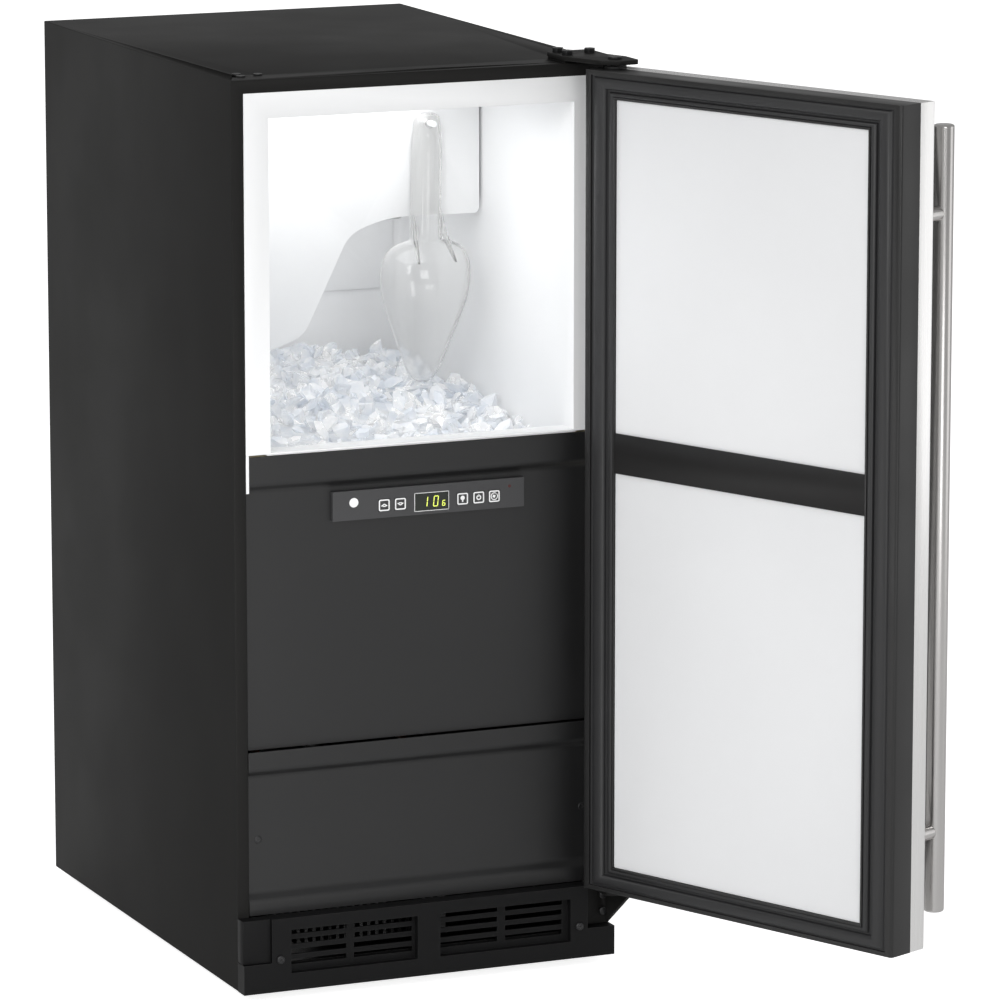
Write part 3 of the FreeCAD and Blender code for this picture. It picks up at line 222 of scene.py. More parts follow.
def brushGroup():
    # long fine lines along one axis, chosen by the three scales
    group, into, out = newGroup("brushedLines", [("Across X", 900), ("Across Y", 900), ("Across Z", 6)],
                                [("Lines", "NodeSocketFloat")])
    place = put(group, "ShaderNodeTexCoord")
    scales = put(group, "ShaderNodeCombineXYZ")
    for i, label in enumerate(("Across X", "Across Y", "Across Z")):
        group.links.new(into.outputs[label], scales.inputs[i])
    stretched = put(group, "ShaderNodeVectorMath", operation="MULTIPLY")
    group.links.new(place.outputs["Object"], stretched.inputs[0])
    group.links.new(scales.outputs["Vector"], stretched.inputs[1])
    lines = put(group, "ShaderNodeTexNoise")
    lines.inputs["Scale"].default_value = 1
    lines.inputs["Detail"].default_value = 4
    group.links.new(stretched.outputs["Vector"], lines.inputs["Vector"])
    group.links.new(lines.outputs["Fac"], out.inputs["Lines"])
    return group


fineGrain = grainGroup()
edgeWear = wearGroup()
brushedLines = brushGroup()


def useGroup(tree, group, **values):
    node = put(tree, "ShaderNodeGroup", node_tree=group)
    for label, amount in values.items():
        node.inputs[label.replace("_", " ")].default_value = amount
    return node


def newFinish(name, colour, rough, metal=0.0):
    material = bpy.data.materials.new(name)
    material.use_nodes = True
    shader = material.node_tree.nodes["Principled BSDF"]
    shader.inputs["Base Color"].default_value = (*colour, 1)
    shader.inputs["Roughness"].default_value = rough
    shader.inputs["Metallic"].default_value = metal
    return material, material.node_tree, shader


def rampBetween(tree, source, low, high, socket):
    # spreads a 0 to 1 value between two numbers
    spread = put(tree, "ShaderNodeMapRange")
    spread.inputs["From Min"].default_value = 0.3
    spread.inputs["From Max"].default_value = 0.7
    spread.inputs["To Min"].default_value = low
    spread.inputs["To Max"].default_value = high
    tree.links.new(source, spread.inputs["Value"])
    tree.links.new(spread.outputs["Result"], socket)


def colourBetween(tree, source, low, high, socket=None):
    mix = put(tree, "ShaderNodeMix", data_type="RGBA")
    mix.inputs[6].default_value = (*low, 1)
    mix.inputs[7].default_value = (*high, 1)
    tree.links.new(source, mix.inputs[0])
    if socket:
        tree.links.new(mix.outputs[2], socket)
    return mix


def bumpFrom(tree, shader, height, strength, depth):
    bump = put(tree, "ShaderNodeBump")
    bump.inputs["Strength"].default_value = strength
    bump.inputs["Distance"].default_value = depth
    tree.links.new(height, bump.inputs["Height"])
    tree.links.new(bump.outputs["Normal"], shader.inputs["Normal"])
    return bump


def grainedFinish(name, dark, light, rough, scale, strength, depth, wear=0.0, wornColour=(0.3, 0.3, 0.3), metal=0.0,
                  slowScale=9, shine=0.5):
    # moulded, cast or painted surfaces: slow colour change, fine grain, worn edges
    material, tree, shader = newFinish(name, light, rough[0], metal)
    shader.inputs["Specular IOR Level"].default_value = shine
    grain = useGroup(tree, fineGrain, Scale=scale, Slow_Scale=slowScale)
    mix = colourBetween(tree, grain.outputs["Variation"], dark, light, shader.inputs["Base Color"])
    rampBetween(tree, grain.outputs["Variation"], rough[0], rough[1], shader.inputs["Roughness"])
    bumpFrom(tree, shader, grain.outputs["Height"], strength, depth)
    if wear:
        worn = useGroup(tree, edgeWear, Amount=wear)
        over = colourBetween(tree, worn.outputs["Mask"], light, wornColour, shader.inputs["Base Color"])
        tree.links.new(mix.outputs[2], over.inputs[6])
    return material


def brushedFinish(name, dark, light, rough, across):
    material, tree, shader = newFinish(name, light, rough[0], 1.0)
    lines = useGroup(tree, brushedLines, Across_X=across[0], Across_Y=across[1], Across_Z=across[2])
    colourBetween(tree, lines.outputs["Lines"], dark, light, shader.inputs["Base Color"])
    rampBetween(tree, lines.outputs["Lines"], rough[0], rough[1], shader.inputs["Roughness"])
    bumpFrom(tree, shader, lines.outputs["Lines"], 0.25, 0.0001)
    return material


powderCoat = grainedFinish("powderCoat", (0.0105, 0.0102, 0.0097), (0.0122, 0.0119, 0.0114), (0.5, 0.56), 1500, 0.35,
                           0.0003, 0.5, (0.10, 0.10, 0.10), shine=0.14)
panelCoat = grainedFinish("panelCoat", (0.0034, 0.0034, 0.0037), (0.0046, 0.0046, 0.0050), (0.40, 0.46), 1300, 0.3,
                          0.0002, 0.4, (0.09, 0.09, 0.09), shine=0.6)
linerWhite = grainedFinish("linerWhite", (0.89, 0.895, 0.90), (0.92, 0.925, 0.93), (0.32, 0.42), 240, 0.12, 0.0003,
                           0.15, (0.94, 0.94, 0.94))
shroudWhite = grainedFinish("shroudWhite", (0.88, 0.885, 0.89), (0.91, 0.915, 0.92), (0.3, 0.4), 420, 0.1, 0.0002)
doorWhite = grainedFinish("doorWhite", (0.83, 0.835, 0.845), (0.86, 0.865, 0.875), (0.42, 0.55), 700, 0.25, 0.0003)
frameBlack = grainedFinish("frameBlack", (0.011, 0.0108, 0.0108), (0.015, 0.0147, 0.0147), (0.34, 0.48), 900, 0.25,
                           0.0002, 0.5, (0.08, 0.08, 0.085))
streakBlack = grainedFinish("streakBlack", (0.009, 0.0085, 0.0085), (0.013, 0.0125, 0.0125), (0.46, 0.55), 900, 0.25,
                            0.0002, 0.5, (0.08, 0.08, 0.085), shine=0.3)
sealBlack = grainedFinish("sealBlack", (0.016, 0.016, 0.017), (0.026, 0.026, 0.027), (0.4, 0.55), 600, 0.2, 0.0002)
kickBlack = grainedFinish("kickBlack", (0.0040, 0.0040, 0.0042), (0.0065, 0.0065, 0.0068), (0.45, 0.55), 1100, 0.3,
                          0.0002, 0.45, (0.07, 0.07, 0.07), shine=0.16)
barGrey = grainedFinish("barGrey", (0.034, 0.034, 0.036), (0.044, 0.044, 0.046), (0.40, 0.50), 1400, 0.3, 0.0001,
                        0.3, (0.12, 0.12, 0.12), shine=0.6)
keyGrey = grainedFinish("keyGrey", (0.030, 0.030, 0.031), (0.038, 0.038, 0.039), (0.3, 0.4), 1600, 0.25, 0.0001)
zincSteel = grainedFinish("zincSteel", (0.50, 0.50, 0.49), (0.66, 0.66, 0.64), (0.3, 0.48), 500, 0.15, 0.0002,
                          metal=1.0, slowScale=45)
blackScrew = grainedFinish("blackScrew", (0.018, 0.018, 0.019), (0.030, 0.030, 0.031), (0.28, 0.42), 900, 0.2, 0.0001,
                           0.6, (0.30, 0.30, 0.30), metal=0.5)
castMetal = grainedFinish("castMetal", (0.50, 0.51, 0.52), (0.62, 0.63, 0.64), (0.38, 0.55), 320, 0.5, 0.0004,
                          metal=1.0, slowScale=30)
copperTube = grainedFinish("copperTube", (0.50, 0.22, 0.13), (0.74, 0.40, 0.26), (0.24, 0.42), 200, 0.15, 0.0002,
                           metal=1.0, slowScale=25)
blackEnamel = grainedFinish("blackEnamel", (0.010, 0.010, 0.010), (0.016, 0.016, 0.016), (0.2, 0.32), 260, 0.15,
                            0.0003, 0.4, (0.2, 0.2, 0.2))
hoseBlack = grainedFinish("hoseBlack", (0.018, 0.018, 0.018), (0.03, 0.03, 0.03), (0.5, 0.65), 500, 0.3, 0.0003)
foamCream = grainedFinish("foamCream", (0.60, 0.52, 0.34), (0.74, 0.67, 0.48), (0.8, 0.95), 260, 0.9, 0.0015)
boardGreen = grainedFinish("boardGreen", (0.01, 0.07, 0.03), (0.02, 0.12, 0.05), (0.35, 0.5), 800, 0.2, 0.0001,
                           slowScale=60)
whitePrint = grainedFinish("whitePrint", (0.90, 0.90, 0.90), (0.95, 0.95, 0.95), (0.4, 0.5), 900, 0.1, 0.0001)
skinSteel = brushedFinish("skinSteel", (0.80, 0.795, 0.785), (0.93, 0.925, 0.92), (0.24, 0.36), (1400, 1400, 5))
handleSteel = brushedFinish("handleSteel", (0.50, 0.487, 0.478), (0.62, 0.607, 0.598), (0.16, 0.26), (1600, 1600, 7))
armSteel = brushedFinish("armSteel", (0.58, 0.58, 0.57), (0.74, 0.74, 0.73), (0.2, 0.3), (9, 1500, 1500))
finMetal = brushedFinish("finMetal", (0.56, 0.57, 0.58), (0.76, 0.77, 0.78), (0.26, 0.4), (9, 900, 900))


def displayGlass():
    material, tree, shader = newFinish("displayGlass", (0.012, 0.015, 0.012), 0.12)
    grain = useGroup(tree, fineGrain, Scale=500, Slow_Scale=70)
    colourBetween(tree, grain.outputs["Variation"], (0.010, 0.013, 0.010), (0.020, 0.024, 0.019),
                  shader.inputs["Base Color"])
    rampBetween(tree, grain.outputs["Variation"], 0.08, 0.16, shader.inputs["Roughness"])
    return material


def glowFinish(name, colour, strength):
    material, tree, shader = newFinish(name, colour, 0.4)
    grain = useGroup(tree, fineGrain, Scale=900, Slow_Scale=300)
    dim = [level * 0.82 for level in colour]
    colourBetween(tree, grain.outputs["Variation"], dim, colour, shader.inputs["Emission Color"])
    shader.inputs["Emission Strength"].default_value = strength
    return material


def scoopPlastic():
    # frosted clear plastic with faint flow marks
    material, tree, shader = newFinish("scoopPlastic", (0.80, 0.80, 0.79), 0.1)
    shader.inputs["Transmission Weight"].default_value = 0.9
    shader.inputs["IOR"].default_value = 1.42
    grain = useGroup(tree, fineGrain, Scale=260, Slow_Scale=22)
    colourBetween(tree, grain.outputs["Variation"], (0.965, 0.965, 0.96), (0.99, 0.99, 0.985),
                  shader.inputs["Base Color"])
    rampBetween(tree, grain.outputs["Variation"], 0.08, 0.16, shader.inputs["Roughness"])
    bumpFrom(tree, shader, grain.outputs["Height"], 0.12, 0.0003)
    return material


def iceFinish():
    # cloudy ice: clear stretches, white cracks and a cold tint, plus a faint glow in its own colour that is painted
    # light lifting its shadows
    material, tree, shader = newFinish("clearIce", (0.9, 0.95, 1.0), 0.1)
    shader.inputs["Transmission Weight"].default_value = 0.35
    shader.inputs["IOR"].default_value = 1.31
    place = put(tree, "ShaderNodeTexCoord")
    cloud = put(tree, "ShaderNodeTexNoise")
    cloud.inputs["Scale"].default_value = 55
    cloud.inputs["Detail"].default_value = 5
    cracks = put(tree, "ShaderNodeTexVoronoi", feature="DISTANCE_TO_EDGE")
    cracks.inputs["Scale"].default_value = 120
    for texture in (cloud, cracks):
        tree.links.new(place.outputs["Object"], texture.inputs["Vector"])
    colour = put(tree, "ShaderNodeValToRGB")
    colour.color_ramp.elements[0].position = 0.36
    colour.color_ramp.elements[0].color = (0.80, 0.835, 0.885, 1)
    colour.color_ramp.elements[1].position = 0.62
    colour.color_ramp.elements[1].color = (1.0, 1.0, 1.0, 1)
    tree.links.new(cloud.outputs["Fac"], colour.inputs["Fac"])
    tree.links.new(colour.outputs["Color"], shader.inputs["Base Color"])
    # painted light: the ice glows faintly in its own colour so that the shade between the chips is lifted
    tree.links.new(colour.outputs["Color"], shader.inputs["Emission Color"])
    shader.inputs["Emission Strength"].default_value = 0.08
    rampBetween(tree, cloud.outputs["Fac"], 0.04, 0.34, shader.inputs["Roughness"])
    both = mathNode(tree, "MULTIPLY", cracks.outputs["Distance"], cloud.outputs["Fac"])
    bumpFrom(tree, shader, both, 0.5, 0.002)
    return material


windowFinish = displayGlass()
digitGlow = glowFinish("digitGlow", (0.66, 0.74, 0.12), 1.0)
lampGlow = glowFinish("lampGlow", (0.95, 0.98, 1.0), 4.0)
alertRed = grainedFinish("alertRed", (0.05, 0.01, 0.01), (0.09, 0.015, 0.012), (0.2, 0.3), 700, 0.1, 0.0001)
clearPlastic = scoopPlastic()
clearIce = iceFinish()
print("finishes made")

# finishes of the CAD nodes

dressing = {
    "powderCoat": (powderCoat, ["outer_cabinet", "top_hinge_plate", "bottom_hinge_bracket"]),
    "panelCoat": (panelCoat, ["upper_front_panel", "lower_access_panel"]),
    "linerWhite": (linerWhite, ["ice_bin_liner", "evaporator_cover", "water_fill_cup"]),
    "shroudWhite": (shroudWhite, ["ice_maker_shroud", "ice_maker_gearbox", "water_valve"]),
    "doorWhite": (doorWhite, ["door_white_panels"]),
    "frameBlack": (frameBlack, ["door_inner_frame", "door_bushes", "hinge_hole_plugs"]),
    "streakBlack": (streakBlack, ["door_middle_bar"]),
    "sealBlack": (sealBlack, ["door_gasket"]),
    "kickBlack": (kickBlack, ["kick_grille", "corner_filler", "power_inlet", "bin_fan_motor", "bin_fan_blade",
                              "rake_shaft", "condenser_fan_blade", "leveling_leg_front_left",
                              "leveling_leg_rear_left", "leveling_leg_front_right", "leveling_leg_rear_right"]),
    "barGrey": (barGrey, ["control_bezel"]),
    "keyGrey": (keyGrey, ["up_button", "down_button", "light_button", "power_button", "ice_button"]),
    "zincSteel": (zincSteel, ["rear_access_cover", "rear_panel"]),
    "blackScrew": (blackScrew, ["front_panel_screws", "hinge_screws", "hinge_pins"]),
    "castMetal": (castMetal, ["ice_mould"]),
    "copperTube": (copperTube, ["refrigerant_pipes"]),
    "blackEnamel": (blackEnamel, ["compressor", "condenser_fan_motor", "base_pan", "condenser",
                                  "condenser_fan_frame"]),
    "hoseBlack": (hoseBlack, ["drain_hose"]),
    "foamCream": (foamCream, ["foam_insulation", "door_foam"]),
    "boardGreen": (boardGreen, ["control_board"]),
    "skinSteel": (skinSteel, ["door_skin"]),
    "handleSteel": (handleSteel, ["handle_bar", "handle_posts"]),
    "armSteel": (armSteel, ["ice_level_arm"]),
    "finMetal": (finMetal, ["evaporator_coil"]),
    "windowFinish": (windowFinish, ["display_window"]),
    "alertRed": (alertRed, ["alert_light"]),
    "lampGlow": (lampGlow, ["bin_light"]),
    "clearPlastic": (clearPlastic, ["scoop"]),
    "clearIce": (clearIce, ["ice_heap"]),
}
for material, names in dressing.values():
    for name in names:
        if not nodes[name].material_slots:
            nodes[name].data.materials.append(material)
        for materialSlot in nodes[name].material_slots:
            materialSlot.material = material

# small radii on the edges of the CAD nodes that show
softEdges = {"outer_cabinet": 0.0008, "door_inner_frame": 0.0008, "door_skin": 0.0003,
             "corner_filler": 0.0005, "top_hinge_plate": 0.0006, "bottom_hinge_bracket": 0.0004,
             "ice_bin_liner": 0.0012, "ice_maker_shroud": 0.0012, "door_white_panels": 0.0006,
             "door_middle_bar": 0.0005, "evaporator_cover": 0.0005, "up_button": 0.0003, "down_button": 0.0003,
             "light_button": 0.0003, "power_button": 0.0003, "ice_button": 0.0003, "front_panel_screws": 0.0005,
             "hinge_screws": 0.0004, "hinge_pins": 0.0005, "hinge_hole_plugs": 0.0005}
for name, width in softEdges.items():
    weld = nodes[name].modifiers.new("Weld", "WELD")
    weld.merge_threshold = 0.00001
    bevel = nodes[name].modifiers.new("Bevel", "BEVEL")
    bevel.width = width
    bevel.segments = 2
    bevel.limit_method = "ANGLE"
    bevel.angle_limit = math.radians(40)
    bevel.harden_normals = True
    for polygon in nodes[name].data.polygons:
        polygon.use_smooth = True
print("CAD nodes dressed")

# seal round the door: one ring of edges pushed out step by step, with mitred corners

seal = {
    "firstRing": (0.0083, 0.0043, -0.0048),
    # distance in from the door's side, distance in from its ends, height above the door's inner face
    "steps": [(0.0083, 0.0043, -0.0018), (0.0110, 0.0055, -0.0020), (0.0118, 0.0061, -0.0008),
              (0.0130, 0.0068, 0.0006), (0.0150, 0.0080, 0.0014), (0.0180, 0.0102, 0.0017),
              (0.0212, 0.0128, 0.0015), (0.0238, 0.0148, 0.0007), (0.0252, 0.0160, -0.0008),
              (0.0257, 0.0166, -0.0032), (0.0294, 0.0184, -0.0034), (0.0299, 0.0189, -0.0014),
              (0.0309, 0.0196, -0.0004), (0.0325, 0.0206, 0.0), (0.0343, 0.0218, -0.0001),
              (0.0354, 0.0225, -0.0007), (0.0357, 0.0227, -0.0048)],
}


def ringSize(step):
    return 2 * (door["side"] - step[0]), door["top"] - door["bottom"] - 2 * step[1]


def makeSeal():
    centre = Vector((0, door["face"] + seal["firstRing"][2], (door["bottom"] + door["top"]) / 2))
    letGo()
    bpy.ops.mesh.primitive_plane_add(size=1, location=centre, rotation=(math.pi / 2, 0, 0))
    piece = bpy.context.object
    bpy.ops.object.transform_apply(location=True, rotation=True, scale=True)
    editing(piece, "EDGE", True)
    bpy.ops.mesh.delete(type="ONLY_FACE")
    bpy.ops.mesh.select_all(action="SELECT")
    wide, tall = ringSize(seal["firstRing"])
    bpy.ops.transform.resize(value=(wide, 1, tall), center_override=centre)
    last = seal["firstRing"]
    for step in seal["steps"]:
        rise = step[2] - last[2]
        bpy.ops.mesh.extrude_edges_move(TRANSFORM_OT_translate={"value": (0, rise, 0)})
        before, after = ringSize(last), ringSize(step)
        bpy.ops.transform.resize(value=(after[0] / before[0], 1, after[1] / before[1]), center_override=centre)
        last = step
    pick(piece, "edges", lambda edge: edge.is_boundary)
    bpy.ops.mesh.bridge_edge_loops()
    letGo()
    cleaned(piece)
    piece.data.transform(swing)
    return rest(piece, "doorSeal", "door", sealBlack, ["door_gasket"], 50)


makeSeal()
print("door seal made")

# handle: a round bar with softened ends on two posts

grip = {"radius": 0.0095, "x": -0.1645, "y": -0.3503, "low": 0.107, "high": 0.838, "endRound": 0.0022,
        "postRadius": 0.007, "posts": (0.183, 0.7574), "postReach": 0.0062, "postRound": 0.0012}


def makeHandle():
    piece = bar(grip["radius"], (grip["x"], grip["y"], grip["low"]), (grip["x"], grip["y"], grip["high"]), 64)
    editing(piece, "EDGE")
    pick(piece, "edges", lambda edge: abs(edge.verts[0].co.z - edge.verts[1].co.z) < 0.0001)
    bpy.ops.mesh.bevel(offset=grip["endRound"], segments=5, affect="EDGES")
    letGo()
    cleaned(piece)
    piece.data.transform(swing)
    rest(piece, "handleBar", "door", handleSteel, ["handle_bar"], 50)
    posts = []
    inner = grip["y"] + grip["postReach"]
    for up in grip["posts"]:
        post = bar(grip["postRadius"], (grip["x"], inner, up), (grip["x"], door["outer"], up), 48)
        editing(post, "EDGE")
        pick(post, "edges", lambda edge: all(v.co.y < inner + 0.001 for v in edge.verts))
        bpy.ops.mesh.bevel(offset=grip["postRound"], segments=6, affect="EDGES")
        letGo()
        posts.append(post)
    both = joined(*posts)
    both.data.transform(swing)
    rest(both, "handlePosts", "door", handleSteel, ["handle_posts"], 40)


makeHandle()
print("handle made")

# front panels: bent sheets, soft at the bends

panels = {
    "halfWidth": 0.177, "gauge": 0.002, "bendSoftness": 0.0026, "bendSteps": 5,
    # profile points from the bottom up, as depth and height
    "upper": [(-0.2500, 0.2381), (-0.2500, 0.4835), (-0.2562, 0.4900), (-0.2562, 0.5166)],
    "lower": [(-0.2562, 0.0805), (-0.2562, 0.0945), (-0.2500, 0.1010), (-0.2500, 0.2125), (-0.2562, 0.2190),
              (-0.2562, 0.2369)],
    "barGap": ((-0.0912, -0.270, 0.4496), (0.1031, -0.240, 0.4780)),
    "ears": [((-0.1900, -0.270, 0.4827), (-0.1743, -0.2537, 0.5210)),
             ((0.1743, -0.270, 0.4827), (0.1900, -0.2537, 0.5210))],
}


def bentSheet(profile):
    letGo()
    bpy.ops.mesh.primitive_plane_add(size=1, location=(0, 0, 0))
    piece = bpy.context.object
    editing(piece, "VERT")
    pick(piece, "verts", lambda vert: vert.co.y > 0)
    bpy.ops.mesh.delete(type="VERT")
    bpy.ops.mesh.select_all(action="SELECT")
    bpy.ops.transform.translate(value=(0, 0.5 + profile[0][0], profile[0][1]))
    bpy.ops.transform.resize(value=(2 * panels["halfWidth"], 1, 1), center_override=(0, 0, 0))
    for before, after in zip(profile, profile[1:]):
        step = (0, after[0] - before[0], after[1] - before[1])
        bpy.ops.mesh.extrude_edges_move(TRANSFORM_OT_translate={"value": step})
    bends = [Vector((0, *point)) for point in profile[1:-1]]
    bpy.ops.mesh.select_mode(type="EDGE")
    pick(piece, "edges", lambda edge: any((middle(edge) - bend).length < 0.0002 for bend in bends))
    bpy.ops.mesh.bevel(offset=panels["bendSoftness"], segments=panels["bendSteps"], affect="EDGES")
    letGo()
    cleaned(piece)
    facingFront(piece)
    finishWith(piece, "SOLIDIFY", thickness=panels["gauge"], offset=-1)
    return piece


def cutAway(piece, *cutters):
    for cutter in cutters:
        finishWith(piece, "BOOLEAN", operation="DIFFERENCE", object=cutter, solver="EXACT")
        bpy.data.objects.remove(cutter)


upper = bentSheet(panels["upper"])
cutAway(upper, cubeAt(*panels["barGap"]), *[cubeAt(*ear) for ear in panels["ears"]])
rest(upper, "upperPanel", "cabinet", panelCoat, ["upper_front_panel"], 40)
rest(bentSheet(panels["lower"]), "lowerPanel", "cabinet", panelCoat, ["lower_access_panel"], 40)
print("front panels made")

# screws of the front: domed heads with a cross slot, placed by x, height and depth of the seat

screws = {"head": 0.004, "height": 0.002, "dome": 0.0011, "shank": 0.0019, "length": 0.009, "slot": (0.0038, 0.0009),
          "slotDepth": 0.0012, "places": [(-0.1657, 0.1517, -0.2486), (0.1657, 0.1517, -0.2486),
                                          (-0.153, 0.0405, -0.2738), (0.153, 0.0405, -0.2738)]}


def crossScrew(x, z, base):
    front = base - screws["height"]
    head = bar(screws["head"], (x, base, z), (x, front, z))
    editing(head, "EDGE")
    pick(head, "edges", lambda edge: all(v.co.y < front + 0.0001 for v in edge.verts))
    bpy.ops.mesh.bevel(offset=screws["dome"], segments=4, affect="EDGES")
    letGo()
    long, thin = (size / 2 for size in screws["slot"])
    deep = front + screws["slotDepth"]
    cutAway(head, cubeAt((x - long, front - 0.001, z - thin), (x + long, deep, z + thin)),
            cubeAt((x - thin, front - 0.001, z - long), (x + thin, deep, z + long)))
    return joined(head, bar(screws["shank"], (x, base, z), (x, base + screws["length"], z), 16))


rest(joined(*[crossScrew(*place) for place in screws["places"]]), "frontScrews", "cabinet", blackScrew,
     ["front_panel_screws"], 40)
print("front screws made")

# scoop: half a shell, drawn out ring by ring from its tip to the end of its handle

scoop = {
    "x": 0.093, "rim": -0.042, "wall": 0.0020, "segments": 40, "lean": 0.022, "leanFrom": 0.780,
    # height, half width, depth towards the front
    "rings": [(0.5350, 0.0004, 0.0004), (0.5356, 0.0065, 0.0055), (0.5385, 0.0115, 0.0100), (0.5460, 0.0165, 0.0145),
              (0.5580, 0.0212, 0.0190), (0.5740, 0.0275, 0.0245), (0.5920, 0.0345, 0.0305), (0.6080, 0.0405, 0.0360),
              (0.6200, 0.0445, 0.0398), (0.6320, 0.0466, 0.0412), (0.6440, 0.0470, 0.0402), (0.6540, 0.0455, 0.0375),
              (0.6610, 0.0428, 0.0335), (0.6660, 0.0390, 0.0290),
              (0.6695, 0.0345, 0.0255), (0.6722, 0.0285, 0.0222), (0.6742, 0.0215, 0.0192), (0.6752, 0.0170, 0.0172),
              (0.6762, 0.0163, 0.0165), (0.6850, 0.0162, 0.0162), (0.7000, 0.0160, 0.0160), (0.7300, 0.0158, 0.0156),
              (0.7600, 0.0155, 0.0152), (0.7760, 0.0153, 0.0150), (0.7790, 0.0140, 0.0138), (0.7900, 0.0138, 0.0136),
              (0.7950, 0.0122, 0.0120), (0.7976, 0.0075, 0.0075), (0.7980, 0.0004, 0.0004)],
    "pegHole": (0.0918, 0.7882, 0.0040),
    # ribs from the handle down onto the bowl: place across, then outline as height and depth
    "ribs": (-0.0150, 0.0146), "ribWidth": 0.0020,
    "ribOutline": [(0.7000, -0.0050), (0.6860, -0.0135), (0.6560, -0.0330), (0.6560, -0.0290), (0.6760, -0.0090)],
}


def leaning(height):
    return scoop["x"] - scoop["lean"] * max(0.0, scoop["leanFrom"] - height)


def scoopRib(across):
    # a thin upright rib, its outline pulled out to its width
    points = scoop["ribOutline"]
    letGo()
    bpy.ops.mesh.primitive_circle_add(vertices=len(points), radius=1, fill_type="NGON")
    rib = bpy.context.object
    for vert, (height, depth) in zip(rib.data.vertices, points):
        vert.co = (leaning(height) + across * (1.0 if height > 0.67 else 1.3), scoop["rim"] + depth, height)
    editing(rib, "FACE", True)
    bpy.ops.mesh.extrude_region_move(TRANSFORM_OT_translate={"value": (scoop["ribWidth"], 0, 0)})
    letGo()
    cleaned(rib)
    return rib


def makeScoop():
    first = scoop["rings"][0]
    centre = (leaning(first[0]), scoop["rim"], first[0])
    letGo()
    bpy.ops.mesh.primitive_circle_add(vertices=scoop["segments"], radius=1, location=centre)
    piece = bpy.context.object
    bpy.ops.object.transform_apply(location=True, rotation=True, scale=True)
    editing(piece, "VERT")
    pick(piece, "verts", lambda vert: vert.co.y > scoop["rim"] + 0.001)
    bpy.ops.mesh.delete(type="VERT")
    bpy.ops.mesh.select_all(action="SELECT")
    bpy.ops.transform.resize(value=(first[1], first[2], 1), center_override=centre)
    for before, after in zip(scoop["rings"], scoop["rings"][1:]):
        step = (leaning(after[0]) - leaning(before[0]), 0, after[0] - before[0])
        bpy.ops.mesh.extrude_edges_move(TRANSFORM_OT_translate={"value": step})
        bpy.ops.transform.resize(value=(after[1] / before[1], after[2] / before[2], 1),
                                 center_override=(leaning(after[0]), scoop["rim"], after[0]))
    bpy.ops.mesh.select_all(action="SELECT")
    bpy.ops.mesh.remove_doubles(threshold=0.0003)
    letGo()
    cleaned(piece)
    facingFront(piece)
    finishWith(piece, "SOLIDIFY", thickness=scoop["wall"], offset=-1)
    finishWith(piece, "SUBSURF", levels=1, render_levels=1)
    holeX, holeZ, holeRadius = scoop["pegHole"]
    cutAway(piece, bar(holeRadius, (holeX, scoop["rim"] - 0.03, holeZ), (holeX, scoop["rim"] + 0.01, holeZ)))
    joined(piece, *[scoopRib(across) for across in scoop["ribs"]])
    return rest(piece, "iceScoop", "scoop", clearPlastic, ["scoop"], 60)


makeScoop()
print("scoop made")

# ice: a bumpy heap with a loose cover of chips

ice = {"left": -0.1515, "right": 0.1515, "front": -0.2312, "back": 0.134, "floor": 0.3304,
       "chips": 760, "kinds": 10, "small": 0.016, "large": 0.036, "seed": 11, "turn": 6.28,
       # each kind of chip is a ball cut flat at random places, this deep
       "cuts": 5, "cutDepth": (0.06, 0.28), "sink": (-0.010, 0.0035), "margin": 0.007, "backMargin": 0.01,
       "coreTop": 0.5, "coreCuts": 46, "coreDrop": 0.007, "ripple": 0.006, "rippleScale": 26,
       # heap heights at the front, at the shroud and at the back
       "leftHeights": (0.5165, 0.5475, 0.5780), "rightHeights": (0.4985, 0.5185, 0.5300), "shroud": -0.04}


def heapTop(x, y):
    along = (x - ice["left"]) / (ice["right"] - ice["left"])
    heights = [a + (b - a) * along for a, b in zip(ice["leftHeights"], ice["rightHeights"])]
    if y < ice["shroud"]:
        part = (y - ice["front"]) / (ice["shroud"] - ice["front"])
        base = heights[0] + (heights[1] - heights[0]) * part ** 0.75
    else:
        base = heights[1] + (heights[2] - heights[1]) * (y - ice["shroud"]) / (ice["back"] - ice["shroud"])
    return base + ice["ripple"] * noise.noise(Vector((x * ice["rippleScale"], y * ice["rippleScale"], 3.1)))


def heapCore():
    core = cubeAt((ice["left"], ice["front"], ice["floor"]), (ice["right"], ice["back"], ice["coreTop"]))
    editing(core, "FACE")
    pick(core, "faces", lambda face: face.normal.z > 0.9)
    bpy.ops.mesh.subdivide(number_cuts=ice["coreCuts"])
    mesh = bmesh.from_edit_mesh(core.data)
    for vert in mesh.verts:
        if vert.co.z > ice["coreTop"] - 0.01:
            vert.co.z = heapTop(vert.co.x, vert.co.y) - ice["coreDrop"]
    bmesh.update_edit_mesh(core.data)
    letGo()
    return core


def iceChip(number):
    draw = random.Random(number)
    letGo()
    bpy.ops.mesh.primitive_ico_sphere_add(subdivisions=1, radius=0.5)
    chip = bpy.context.object
    editing(chip, "VERT", True)
    for cut in range(ice["cuts"]):
        way = Vector((draw.uniform(-1, 1), draw.uniform(-1, 1), draw.uniform(-1, 1))).normalized()
        bpy.ops.mesh.select_all(action="SELECT")
        bpy.ops.mesh.bisect(plane_co=way * draw.uniform(*ice["cutDepth"]), plane_no=way, use_fill=True,
                            clear_outer=True)
    letGo()
    return chip


